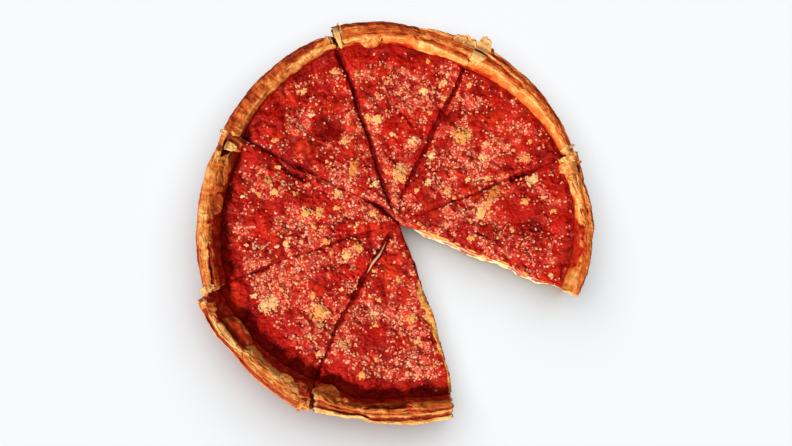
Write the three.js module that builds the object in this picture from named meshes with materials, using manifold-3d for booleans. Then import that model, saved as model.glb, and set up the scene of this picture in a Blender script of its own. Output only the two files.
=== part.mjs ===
// A deep dish pizza cut in eight, with one slice gone. Seven slices keep the shape of the round, and each is a
// tall flaky crust that holds a layer of cheese and a layer of tomato sauce. Millimetres and degrees, +Z up.
// The pizza stands on z = 0, and angles run anticlockwise from +X about its axis.
import * as THREE from 'three';
import { mergeVertices } from 'three/addons/utils/BufferGeometryUtils.js';
import Module from 'manifold-3d';

const wasm = await Module();
wasm.setup();

// Where the axis of the round stands, so that the whole is centred on the origin.
const AXIS_X = 2.3;
const AXIS_Y = 0.6;

// Heights of the layers.
const BASE_THICKNESS = 6.5;
const CHEESE_TOP = 14.5;
const SAUCE_TOP = 25.5;
const LAYER_GAP = 0.3;

// Plan sizes. The tips of the slices stop short of the axis.
const NOMINAL_RADIUS = 152;
const TIP_RADIUS = 3;
const WALL_GAP = 0.5;
const WALL_SLOPE = 3;

// Outer wall of the crust: a rounded foot, then a slight flare up to the rim.
const WALL_FLARE = 4.5;
const FOOT_ROUNDING = 6;
const RIM_ROUNDING = 4.5;

// Width of a cut between two slices, at the tips and at the rim. Sauce sits back from the cut and cheese sags into it.
// A cut that misses the axis turns until it is near the tips, where the knife's cuts meet.
const CUT_AT_TIP = 0.4;
const CUT_AT_RIM = 1.6;
const CUTS_MEET = 20;
const TIP_TURN = 7;
const CUT_WAVE = 0.7;
const CUT_WAVE_LENGTH = 47;
const SAUCE_SETBACK = 0.5;
const CHEESE_SAG = 0.25;
const OPEN_CHEESE_SAG = 2.4;

// Relief of the baked surfaces.
const RIM_RELIEF = 0.9;
const WALL_RELIEF = 0.8;
const SAUCE_RELIEF = 1.3;
const SAUCE_CHUNK = 13;
const SAUCE_EDGE_DROP = 2.2;
const SAUCE_EDGE_WIDTH = 5;

// How finely each slice is divided.
const CRUST_COLUMNS = 15;
const CHEESE_COLUMNS = 10;
const SAUCE_COLUMNS = 12;
const SAUCE_ROWS = 12;
const BREAK_HALF_ANGLE = 0.2;

// Each cut: its angle at the rim and further in, how far it misses the axis, and the angle that it turns by at the
// very tip. An open cut faces the missing slice.
const CUTS = [
  { rim: -22.7, inner: -21.5, miss: 0, tip: -30, open: true },
  { rim: 21.6, inner: 21, miss: 0, tip: 0 },
  { rim: 65.6, inner: 66.6, miss: 6, tip: 0 },
  { rim: 109.4, inner: 108, miss: 2, tip: 0 },
  { rim: 151.6, inner: 152, miss: -5, tip: 0 },
  { rim: 200.3, inner: 197.5, miss: 0, tip: 0 },
  { rim: 244.2, inner: 238.6, miss: 0, tip: 0 },
  { rim: 286.3, inner: 290, miss: 0, tip: 12, open: true },
];

// The slices, anticlockwise. foot is the radius where the wall meets the sauce, at even steps from one end to the
// other. Each stretch of the rim runs on to an angle, with its outer and inner radius at both ends, its height, and
// the depth of the grooves between its flaky layers. Two stretches meet at a crack.
const SLICES = [
  { foot: [136.6, 137.4, 137, 133.5], stretches: [
    { to: -15, outer: [149.4, 150.1], inner: [141.5, 142.5], top: 38, groove: 0.5 },
    { to: 0, outer: [150.1, 150.6], inner: [142.5, 140], top: 38, groove: 0.8 },
    { to: 12, outer: [150.2, 147.5], inner: [139.8, 137], top: 37.5, groove: 1.6 },
    { to: 22, outer: [146.4, 147.6], inner: [136.5, 134.8], top: 35, groove: 3 },
  ] },
  { foot: [138.1, 135, 133, 131.2], stretches: [
    { to: 46.5, outer: [145.8, 148.6], inner: [139.5, 138.7], top: 37.5, groove: 2 },
    { to: 66, outer: [148.4, 150.5], inner: [137.2, 136.5], top: 38.5, groove: 4 },
  ] },
  { foot: [131.5, 133.5, 139.7, 142.8], stretches: [
    { to: 84.5, outer: [150.2, 150.2], inner: [132.6, 138], top: 38, groove: 3 },
    { to: 110, outer: [150.5, 159], inner: [140.7, 143.8], top: 39, groove: 1.6 },
  ] },
  { foot: [143.5, 140.5, 140, 138], stretches: [
    { to: 125, outer: [153.8, 153.8], inner: [144.5, 142.5], top: 38.5, groove: 1 },
    { to: 152, outer: [153.8, 151.6], inner: [142.5, 140.5], top: 39, groove: 0.6 },
  ] },
  { foot: [134.2, 135, 138, 141], stretches: [
    { to: 157, outer: [151.6, 151.2], inner: [138, 138.5], top: 35, groove: 4.4 },
    { to: 170, outer: [151.2, 153.2], inner: [139.5, 137.5], top: 38.5, groove: 1 },
    { to: 188, outer: [153.2, 155.9], inner: [142, 144.5], top: 38.5, groove: 1.2 },
    { to: 201, outer: [155.9, 158], inner: [143, 144], top: 38, groove: 3.2 },
  ] },
  { foot: [148, 145, 142, 139], stretches: [
    { to: 206, outer: [164.5, 165.5], inner: [155, 155], top: 38, groove: 1.6 },
    { to: 220, outer: [165.4, 161.3], inner: [155.5, 151], top: 38.5, groove: 2 },
    { to: 240, outer: [161.3, 162.7], inner: [150.3, 147.5], top: 39, groove: 1.6 },
    { to: 245, outer: [162.3, 160.3], inner: [147, 146.5], top: 38, groove: 2.4 },
  ] },
  { foot: [137, 140, 135.5, 139], stretches: [
    { to: 259.5, outer: [159, 153.2], inner: [143.2, 143.2], top: 38, groove: 3 },
    { to: 273, outer: [155.1, 155.1], inner: [142.5, 137.5], top: 38.5, groove: 3 },
    { to: 287, outer: [155.1, 155.1], inner: [137.5, 143], top: 38.5, groove: 3.4 },
  ] },
];

// Broken flakes of the rim: a thin tapered leaf that runs from one radius to another at a height, and drops at its tip.
const FLAKE_THICKNESS = 2.6;
const FLAKE_TIP_WIDTH = 0.4;
const FLAKE_TIP_THICKNESS = 0.45;
const FLAKES = [
  { slice: 1, angle: 17.6, from: 142, to: 131.5, width: 17, height: 33.5, drop: 1.5 },
  { slice: 2, angle: 63.6, from: 142, to: 157.5, width: 9, height: 35.5, drop: -1 },
  { slice: 3, angle: 69, from: 142, to: 152.8, width: 10, height: 35, drop: -0.8 },
  { slice: 3, angle: 98.8, from: 145, to: 135.5, width: 15, height: 34, drop: 2 },
  { slice: 3, angle: 106.2, from: 150, to: 158.8, width: 6, height: 33.5, drop: 1 },
  { slice: 5, angle: 154.6, from: 146, to: 133.5, width: 9, height: 31.5, drop: 1.5 },
  { slice: 5, angle: 168, from: 143, to: 136, width: 34, height: 32, drop: 2 },
  { slice: 6, angle: 215.5, from: 157, to: 142, width: 36, height: 34, drop: 3.5 },
  { slice: 6, angle: 234.3, from: 151, to: 144.5, width: 12, height: 36, drop: 1.5 },
  { slice: 6, angle: 241.6, from: 155, to: 165.3, width: 6, height: 36.5, drop: -0.8 },
  { slice: 7, angle: 249, from: 146, to: 136, width: 22, height: 33, drop: 2 },
];

// Clumps of toasted grated cheese on the sauce. The largest have places of their own, as distance from the axis,
// angle, length and the way that they lie. The rest follow a sunflower spiral.
const CLUMP_WIDTH = 0.62;
const CLUMP_HEIGHT = 0.34;
const LARGE_CLUMPS = [
  { radius: 81.8, angle: 53.2, length: 13, turn: 20 },
  { radius: 64, angle: 7, length: 14, turn: -10 },
  { radius: 77.2, angle: 17.6, length: 11, turn: 70 },
  { radius: 37.2, angle: 88.8, length: 11, turn: 95 },
  { radius: 117.5, angle: 212.6, length: 13, turn: 35 },
  { radius: 89.5, angle: 230, length: 12, turn: 60 },
  { radius: 53.4, angle: 129, length: 11, turn: 10 },
  { radius: 103.5, angle: 278, length: 9, turn: 80 },
];
const SMALL_CLUMPS = 96;
const SMALL_CLUMP_LENGTHS = [5, 8.5];
const CLUMP_CLEARANCE = 3;
const GOLDEN_ANGLE = 137.508;

const rad = THREE.MathUtils.degToRad;
const { lerp, clamp, smoothstep } = THREE.MathUtils;

// A repeatable pseudo-random number from 0 to 1 for a lattice point.
function lattice(i, j, seed) {
  const wave = Math.sin(i * 127.1 + j * 311.7 + seed * 74.7) * 43758.5453;
  return wave - Math.floor(wave);
}

// Smooth relief from -1 to 1 whose bumps are about one size across.
function relief(x, y, size, seed) {
  const [i, j] = [Math.floor(x / size), Math.floor(y / size)];
  const [u, v] = [smoothstep(x / size - i, 0, 1), smoothstep(y / size - j, 0, 1)];
  const near = lerp(lattice(i, j, seed), lattice(i + 1, j, seed), u);
  const far = lerp(lattice(i, j + 1, seed), lattice(i + 1, j + 1, seed), u);
  return 2 * lerp(near, far, v) - 1;
}

// The angle of a cut's middle line at a radius, in radians.
function cutAngle(cut, radius) {
  const reach = clamp(radius / NOMINAL_RADIUS, 0, 1.1);
  const miss = cut.miss * (1 / Math.max(radius, CUTS_MEET) - 1 / NOMINAL_RADIUS);
  const faded = smoothstep(radius, CUTS_MEET, 3 * CUTS_MEET);
  const wave = CUT_WAVE * Math.sin(2 * Math.PI * radius / CUT_WAVE_LENGTH + cut.rim) * faded;
  const turned = cut.tip * Math.exp(-((radius / TIP_TURN) ** 2));
  return rad(lerp(cut.inner, cut.rim, reach ** 3) + turned) + miss + wave / Math.max(radius, TIP_RADIUS);
}

function halfCut(radius) {
  return lerp(CUT_AT_TIP, CUT_AT_RIM, clamp(radius / NOMINAL_RADIUS, 0, 1)) / 2;
}

// A point of a slice: u runs from 0 at its first cut to 1 at its second, and inset says how far a layer sits back from
// each of the two cuts at a radius.
function place(slice, u, radius, z, inset) {
  const first = cutAngle(slice.cuts[0], radius) + (halfCut(radius) + inset(slice.cuts[0], radius)) / radius;
  const second = cutAngle(slice.cuts[1], radius) - (halfCut(radius) + inset(slice.cuts[1], radius)) / radius;
  const angle = lerp(first, second, u);
  return new THREE.Vector3(radius * Math.cos(angle), radius * Math.sin(angle), z);
}

const crustInset = () => 0;
const cheeseInset = (cut, radius) => -(cut.open ? OPEN_CHEESE_SAG : CHEESE_SAG) * smoothstep(radius, 5, 25);
const sauceInset = (cut, radius) => SAUCE_SETBACK * smoothstep(radius, 0, 15);

function rimAngle(slice, u) {
  return lerp(slice.cuts[0].rim, slice.cuts[1].rim, u);
}

function footRadius(slice, u) {
  const reach = u * (slice.foot.length - 1);
  const step = Math.min(Math.floor(reach), slice.foot.length - 2);
  return lerp(slice.foot[step], slice.foot[step + 1], reach - step);
}

// Sweeps a closed profile, anticlockwise in (radius, z), across a slice and closes it at both cuts.
function sweep(slice, columns, profileAt, inset) {
  const profiles = columns.map((u) => profileAt(slice, u));
  const points = columns.flatMap((u, i) => profiles[i].map(([r, z]) => place(slice, u, r, z, inset)));
  const count = profiles[0].length;
  const index = [];
  for (let i = 0; i + 1 < columns.length; i += 1) {
    for (let j = 0; j < count; j += 1) {
      const [a, b] = [i * count + j, i * count + (j + 1) % count];
      index.push(a, a + count, b, a + count, b + count, b);
    }
  }
  const last = (columns.length - 1) * count;
  for (const [start, profile] of [[0, profiles[0]], [last, profiles.at(-1)]]) {
    const outline = profile.map(([r, z]) => new THREE.Vector2(r, z));
    for (const [a, b, c] of THREE.ShapeUtils.triangulateShape(outline, [])) {
      const turnsLeft = THREE.ShapeUtils.area([outline[a], outline[b], outline[c]]) > 0;
      const keepsOrder = turnsLeft === (start === 0);
      index.push(start + a, start + (keepsOrder ? b : c), start + (keepsOrder ? c : b));
    }
  }
  const geometry = new THREE.BufferGeometry().setFromPoints(points);
  geometry.setIndex(index);
  return geometry;
}

function evenColumns(count) {
  return Array.from({ length: count + 1 }, (_, i) => i / count);
}

// The columns of a crust, with a close pair at each crack.
function crustColumns(slice) {
  const [first, second] = slice.cuts.map((cut) => cut.rim);
  const cracks = slice.stretches.slice(0, -1).flatMap(({ to }) => [to - BREAK_HALF_ANGLE, to + BREAK_HALF_ANGLE]);
  const crackColumns = cracks.map((angle) => (angle - first) / (second - first));
  const clear = evenColumns(CRUST_COLUMNS).filter((u) => crackColumns.every((c) => Math.abs(u - c) > 0.015));
  return [...clear, ...crackColumns].sort((a, b) => a - b);
}

// The sizes of the rim at one angle.
function rimAt(slice, u) {
  const angle = rimAngle(slice, u);
  const order = slice.stretches.findIndex(({ to }) => angle <= to);
  const stretch = slice.stretches[order];
  const start = order > 0 ? slice.stretches[order - 1].to : slice.cuts[0].rim;
  const along = (angle - start) / (Math.min(stretch.to, slice.cuts[1].rim) - start);
  const arc = rad(angle) * NOMINAL_RADIUS;
  const outer = lerp(...stretch.outer, along) + WALL_RELIEF * relief(arc, 0, 14, 1) * 0.7;
  const inner = lerp(...stretch.inner, along) + WALL_RELIEF * relief(arc, 40, 11, 2);
  const foot = footRadius(slice, u);
  const bottom = lerp(slice.stretches[0].outer[0], slice.stretches.at(-1).outer[1], u) - WALL_FLARE;
  return {
    arc, outer, foot, bottom,
    inner: Math.max(inner, foot + 1),
    top: stretch.top + RIM_RELIEF * relief(arc, 80, 12, 3),
    groove: stretch.groove * (1 + 0.5 * relief(arc, 120, 9, 4)),
  };
}

// The layered top of the rim, from its outer lip to its inner one: place across the band, then share of the groove's
// depth that is missing there.
const RIM_STEPS = [[0, 0], [0.1, 0], [0.24, 0], [0.37, 1], [0.52, 0.1], [0.67, 0.9], [0.82, 0.25], [1, 0.6]];

function rimTop(rim) {
  return RIM_STEPS.map(([across, sunk], step) => {
    const r = lerp(rim.outer, rim.inner, across);
    const rounding = RIM_ROUNDING * Math.abs(2 * across - 0.9) ** 2.4;
    const z = rim.top - rounding - sunk * rim.groove + 0.5 * RIM_RELIEF * relief(rim.arc, 20 * step, 8, 5);
    return [r, z];
  });
}

function crustProfile(slice, u) {
  const rim = rimAt(slice, u);
  const bulge = (row) => WALL_RELIEF * relief(rim.arc, 15 * row, 12, 6);
  const lip = rimTop(rim);
  const innerLip = lip.at(-1);
  return [
    [TIP_RADIUS, 0],
    [rim.bottom - FOOT_ROUNDING, 0],
    [rim.bottom - 0.25 * FOOT_ROUNDING, 0.25 * FOOT_ROUNDING],
    [rim.bottom + bulge(1), FOOT_ROUNDING],
    [lerp(rim.bottom, rim.outer, 0.3) + bulge(2), 0.45 * rim.top],
    [lerp(rim.bottom, rim.outer, 0.8) + bulge(3), 0.7 * rim.top],
    ...lip,
    [lerp(innerLip[0], rim.foot, 0.6) + 0.4 * bulge(4), lerp(innerLip[1], SAUCE_TOP, 0.5)],
    [rim.foot, SAUCE_TOP],
    [rim.foot - WALL_SLOPE, BASE_THICKNESS],
    [TIP_RADIUS, BASE_THICKNESS],
  ];
}

// The outer radius of a filling layer at a height, just clear of the crust's wall.
function fillingRadius(slice, u, z) {
  const rise = (z - BASE_THICKNESS) / (SAUCE_TOP - BASE_THICKNESS);
  return footRadius(slice, u) - WALL_SLOPE * (1 - rise) - WALL_GAP;
}

function cheeseProfile(slice, u) {
  const bottom = BASE_THICKNESS + LAYER_GAP;
  return [
    [TIP_RADIUS, bottom],
    [fillingRadius(slice, u, bottom), bottom],
    [fillingRadius(slice, u, CHEESE_TOP), CHEESE_TOP],
    [TIP_RADIUS, CHEESE_TOP],
  ];
}

// The height of the sauce: lumps of crushed tomato, with a soft edge along the cuts and at the wall.
function sauceHeight(slice, u, radius) {
  const angle = lerp(cutAngle(slice.cuts[0], radius), cutAngle(slice.cuts[1], radius), u);
  const [x, y] = [radius * Math.cos(angle), radius * Math.sin(angle)];
  const lumps = relief(x, y, SAUCE_CHUNK, 7) + 0.6 * relief(x, y, SAUCE_CHUNK / 2, 8);
  const span = cutAngle(slice.cuts[1], radius) - cutAngle(slice.cuts[0], radius);
  const toCut = Math.min(u, 1 - u) * span * radius;
  const edge = 1 - smoothstep(toCut, 0, SAUCE_EDGE_WIDTH);
  const toWall = footRadius(slice, u) - radius;
  const wall = 1 - smoothstep(toWall, 0, SAUCE_EDGE_WIDTH);
  const calm = 1 - Math.max(edge, wall);
  return SAUCE_TOP - 1 + SAUCE_RELIEF * lumps * calm - SAUCE_EDGE_DROP * edge - 0.3 * wall;
}

function sauceProfile(slice, u) {
  const bottom = CHEESE_TOP + LAYER_GAP;
  const outside = fillingRadius(slice, u, bottom);
  const edge = fillingRadius(slice, u, sauceHeight(slice, u, footRadius(slice, u)));
  const top = Array.from({ length: SAUCE_ROWS + 1 }, (_, row) => {
    const across = (row / SAUCE_ROWS) ** 0.8;
    const radius = lerp(TIP_RADIUS, edge, 1 - across ** 1.25);
    return [radius, sauceHeight(slice, u, radius)];
  });
  return [[TIP_RADIUS, bottom], [outside, bottom], ...top];
}

// The sauce's columns close up at the cuts, where its edge is rounded.
function sauceColumns() {
  const even = evenColumns(SAUCE_COLUMNS);
  return [0, 0.03, ...even.slice(1, -1), 0.97, 1];
}

function toManifold(geometry) {
  const bare = geometry.clone();
  bare.deleteAttribute('normal');
  bare.deleteAttribute('uv');
  const merged = mergeVertices(bare, 1e-4);
  const vertProperties = new Float32Array(merged.attributes.position.array);
  const triVerts = new Uint32Array(merged.index.array);
  return new wasm.Manifold(new wasm.Mesh({ numProp: 3, vertProperties, triVerts }));
}

// Joins the additions to a solid and returns one geometry.
function fuse(solid, additions) {
  const joined = additions.reduce((whole, addition) => whole.add(toManifold(addition)), toManifold(solid));
  const { vertProperties, triVerts } = joined.getMesh();
  const geometry = new THREE.BufferGeometry();
  geometry.setAttribute('position', new THREE.BufferAttribute(new Float32Array(vertProperties), 3));
  geometry.setIndex(new THREE.BufferAttribute(new Uint32Array(triVerts), 1));
  return geometry;
}

// A leaf of broken dough, bent from a thin box.
function flakeGeometry(flake) {
  const geometry = new THREE.BoxGeometry(1, 1, 1, 3, 2, 1);
  const { position } = geometry.attributes;
  for (let i = 0; i < position.count; i += 1) {
    const along = position.getX(i) + 0.5;
    const across = position.getY(i) * lerp(1, FLAKE_TIP_WIDTH, along ** 2);
    const radius = lerp(flake.from, flake.to, along);
    const angle = rad(flake.angle) + Math.sign(flake.to - flake.from) * across * flake.width / radius;
    const thickness = FLAKE_THICKNESS * lerp(1, FLAKE_TIP_THICKNESS, along);
    const curl = 0.8 * relief(flake.angle * 3 + across * 12, along * 9, 5, 9);
    const z = flake.height - flake.drop * along ** 2 + position.getZ(i) * thickness + curl * along;
    position.setXYZ(i, radius * Math.cos(angle), radius * Math.sin(angle), z);
  }
  return geometry;
}

// A squashed clump of grated cheese, half sunk in the sauce.
function clumpGeometry(clump, sauceZ) {
  const geometry = new THREE.SphereGeometry(0.5, 6, 4).rotateX(Math.PI / 2);
  const { position } = geometry.attributes;
  for (let i = 0; i < position.count; i += 1) {
    const swell = 1 + 0.22 * relief(position.getX(i) * 30, position.getY(i) * 30, 8, clump.seed);
    position.setXYZ(i, position.getX(i) * swell, position.getY(i) * swell, position.getZ(i));
  }
  geometry.scale(clump.length, clump.length * CLUMP_WIDTH, clump.length * CLUMP_HEIGHT);
  geometry.rotateZ(rad(clump.turn));
  const angle = rad(clump.angle);
  return geometry.translate(clump.radius * Math.cos(angle), clump.radius * Math.sin(angle), sauceZ);
}

// The small clumps, spread by a sunflower spiral with a seeded jitter, clear of the large ones.
function smallClumps() {
  const clumps = [];
  for (let i = 0; i < SMALL_CLUMPS; i += 1) {
    const radius = 128 * Math.sqrt((i + 0.8) / SMALL_CLUMPS) + 5 * (lattice(i, 1, 10) - 0.5);
    const angle = (i * GOLDEN_ANGLE + 20 * (lattice(i, 2, 10) - 0.5)) % 360;
    const length = lerp(...SMALL_CLUMP_LENGTHS, lattice(i, 3, 10));
    clumps.push({ radius, angle, length, turn: 360 * lattice(i, 4, 10), seed: 20 + i });
  }
  return clumps.filter((small) => LARGE_CLUMPS.every((large) => {
    const turn = rad(small.angle - large.angle);
    const apart = Math.hypot(large.radius - small.radius * Math.cos(turn), small.radius * Math.sin(turn));
    return apart > (large.length + small.length) / 2 + 1;
  }));
}

// Where a point lies across a slice, from 0 to 1, or NaN outside it or too near its edges.
function acrossSlice(slice, { radius, angle, length }) {
  const [first, second] = slice.cuts.map((cut) => cutAngle(cut, radius));
  const turned = rad(((angle - slice.cuts[0].inner + 360) % 360) + slice.cuts[0].inner);
  const margin = (length / 2 + CLUMP_CLEARANCE) / radius;
  const inside = turned > first + margin && turned < second - margin;
  const u = (turned - first) / (second - first);
  const clearOfWall = radius + length / 2 + CLUMP_CLEARANCE < footRadius(slice, u);
  return inside && clearOfWall ? u : NaN;
}

function crust(slice) {
  const body = sweep(slice, crustColumns(slice), crustProfile, crustInset);
  return fuse(body, FLAKES.filter((flake) => flake.slice === slice.number).map(flakeGeometry));
}

function cheese(slice) {
  return sweep(slice, evenColumns(CHEESE_COLUMNS), cheeseProfile, cheeseInset);
}

function sauce(slice) {
  const body = sweep(slice, sauceColumns(), sauceProfile, sauceInset);
  const large = LARGE_CLUMPS.map((clump, i) => ({ ...clump, seed: 11 + i }));
  const clumps = [...large, ...smallClumps()].flatMap((clump) => {
    const u = acrossSlice(slice, clump);
    return Number.isNaN(u) ? [] : [clumpGeometry(clump, sauceHeight(slice, u, clump.radius))];
  });
  return fuse(body, clumps);
}

const LAYERS = {
  crust: { build: crust, look: { color: 0xc98544, roughness: 0.75, metalness: 0 } },
  cheese: { build: cheese, look: { color: 0xf4e0a6, roughness: 0.5, metalness: 0 } },
  sauce: { build: sauce, look: { color: 0xad1c12, roughness: 0.35, metalness: 0 } },
};

const pizza = new THREE.Group();
SLICES.forEach((sizes, i) => {
  const slice = { ...sizes, number: i + 1, cuts: [CUTS[i], CUTS[i + 1]] };
  const group = new THREE.Group();
  for (const [layer, { build, look }] of Object.entries(LAYERS)) {
    const mesh = new THREE.Mesh(build(slice), new THREE.MeshStandardMaterial(look));
    mesh.name = `slice_${slice.number}_${layer}`;
    group.add(mesh);
  }
  pizza.add(group);
});
pizza.position.set(AXIS_X, AXIS_Y, 0);

export default pizza;
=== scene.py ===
"""A deep dish pizza cut in eight, with one slice gone: seven slices of flaky crust, cheese and chunky tomato
sauce, with grated parmesan on top. Sizes are in millimetres and degrees until a mesh is made, and angles run
anticlockwise from +X about the pizza's axis. Each solid of the frame is replaced by a finer piece of its
form."""

import bpy
import numpy as np
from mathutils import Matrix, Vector
from numpy import clip, cos, hypot, interp, linspace, maximum, minimum, pi, radians, sin


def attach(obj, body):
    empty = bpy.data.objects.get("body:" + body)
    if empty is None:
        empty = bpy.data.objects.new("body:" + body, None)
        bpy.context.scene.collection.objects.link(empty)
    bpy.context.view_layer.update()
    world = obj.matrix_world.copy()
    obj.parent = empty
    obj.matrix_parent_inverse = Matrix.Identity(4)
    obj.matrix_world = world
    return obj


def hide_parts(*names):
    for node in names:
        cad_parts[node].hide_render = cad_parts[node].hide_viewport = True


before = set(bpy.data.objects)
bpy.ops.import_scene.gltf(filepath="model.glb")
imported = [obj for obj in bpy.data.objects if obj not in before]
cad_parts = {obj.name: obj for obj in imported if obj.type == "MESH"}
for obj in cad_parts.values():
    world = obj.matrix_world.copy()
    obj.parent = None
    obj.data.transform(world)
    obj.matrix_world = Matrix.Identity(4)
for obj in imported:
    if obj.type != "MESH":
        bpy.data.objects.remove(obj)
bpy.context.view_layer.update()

MM = 0.001
AXIS = np.array([2.3, 0.6])  # where the pizza's axis stands

# Heights of the layers.
BASE_THICKNESS = 6.5
CHEESE_TOP = 14.5
SAUCE_TOP = 25.5
LAYER_GAP = 0.3

# Plan sizes.
NOMINAL_RADIUS = 152
TIP_RADIUS = 1.0
WALL_GAP = 0.1
WALL_SLOPE = 3

# The crust's outer wall and rim.
WALL_FLARE = 4.5
FOOT_ROUNDING = 6
RIM_ROUNDING = 1.5

# The cuts between slices. One that misses the axis turns until near the tips, where the knife's cuts meet.
CUT_AT_TIP = 0.2
CUT_AT_RIM = 0.35
CUTS_MEET = 20
TIP_TURN = 7
CUT_WAVE = 0.7
CUT_WAVE_LENGTH = 47
CHEESE_SAG = 0.25

# Relief of the baked surfaces.
RIM_RELIEF = 0.9
WALL_RELIEF = 0.8
SAUCE_RELIEF = 1.3
SAUCE_CHUNK = 13
SAUCE_EDGE = 5  # width of the sauce's lowered edge


def knife_cut(rim, inner, **more):
    """A cut: its angle at the rim and further in, how far it misses the axis, the angle that its tip turns
    by, and how far the rims part. gape tells along a closed cut how far the sauce has parted, as radius and
    gape: 0 where it has run together again, and 1 or more where it gapes. An open cut faces the missing
    slice: its cheese sags out, its sauce may overhang, and fringe is how far grated cheese has browned along
    it, as radius and width."""
    return {"rim": rim, "inner": inner, "miss": 0, "tip": 0, "parting": 0, "sag": CHEESE_SAG,
            "open": "gape" not in more, **more}


CUTS = [
    knife_cut(-22.7, -21.5, tip=-30, sag=2.4, overhang=-.4, fringe=[(12, 0), (20, 1.5), (60, 1.2),
              (140, .8)]),
    knife_cut(21.6, 21, gape=[(24, 0), (32, .6), (60, .6), (92, .8), (100, 1.7), (107, 2), (112, 1),
              (117, .35), (135, .2)]),
    knife_cut(65.6, 66.6, miss=6, gape=[(12, 0), (20, .8), (60, 1.2), (100, 1.2), (118, 1.1), (127, 1.6),
              (132, 2.3), (138, 2.3)]),
    knife_cut(109.4, 108, miss=2, parting=1.3, gape=[(12, 0), (18, .9), (30, 1.2), (60, 1.35), (100, 1.55),
              (142, 1.6)]),
    knife_cut(151.6, 152, miss=-5, gape=[(6, .5), (12, 1.1), (26, 1.1), (32, .3), (42, .05), (70, .1),
              (78, 1.2), (87, 2.2), (95, 1), (130, .8)]),
    knife_cut(200.3, 197.5, gape=[(14, 0), (22, .6), (84, .6), (90, .15), (100, .2), (106, 1.3), (114, 1.1),
              (120, .7), (138, .7)]),
    knife_cut(244.2, 238.6, parting=1.8, gape=[(8, .2), (12, 2), (18, 2.2), (38, 2), (46, 1.5), (60, 1.4),
              (96, 1.5), (110, 1), (138, 1)]),
    knife_cut(286.3, 290, tip=12, sag=.4, overhang=.9, fringe=[(15, 0), (45, .6), (54, 3), (62, 6), (90, 5),
              (105, 1.6), (120, 1.2), (140, 3.5)]),
]


def stretch(to, outer, inner, top, stain, steps, wrinkle=0, pits=0, lean=0, crack=0):
    """A stretch of the rim up to an angle: its outer and inner radius at both ends, its height, how far up
    the inner wall the sauce has stained it, and the ledges of its flaky top from the outer lip to the inner
    one, each as place across, drop and tone. Tone runs from 0, pale gold, to 1, nearly black. lean shifts the
    ledges outwards along it, and crack is how deeply the rim has cracked at its end."""
    # Sunken ledges mostly carry darker tones, which are partly painted shade.
    return {"to": to, "outer": outer, "inner": inner, "top": top, "stain": stain, "steps": np.array(steps).T,
            "wrinkle": wrinkle, "pits": pits, "lean": lean, "crack": crack}


def pizza_slice(foot, *stretches):
    """A slice: the wall's radius at the sauce at even steps across the slice, and the rim's stretches."""
    return {"foot": foot, "stretches": stretches}


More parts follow.
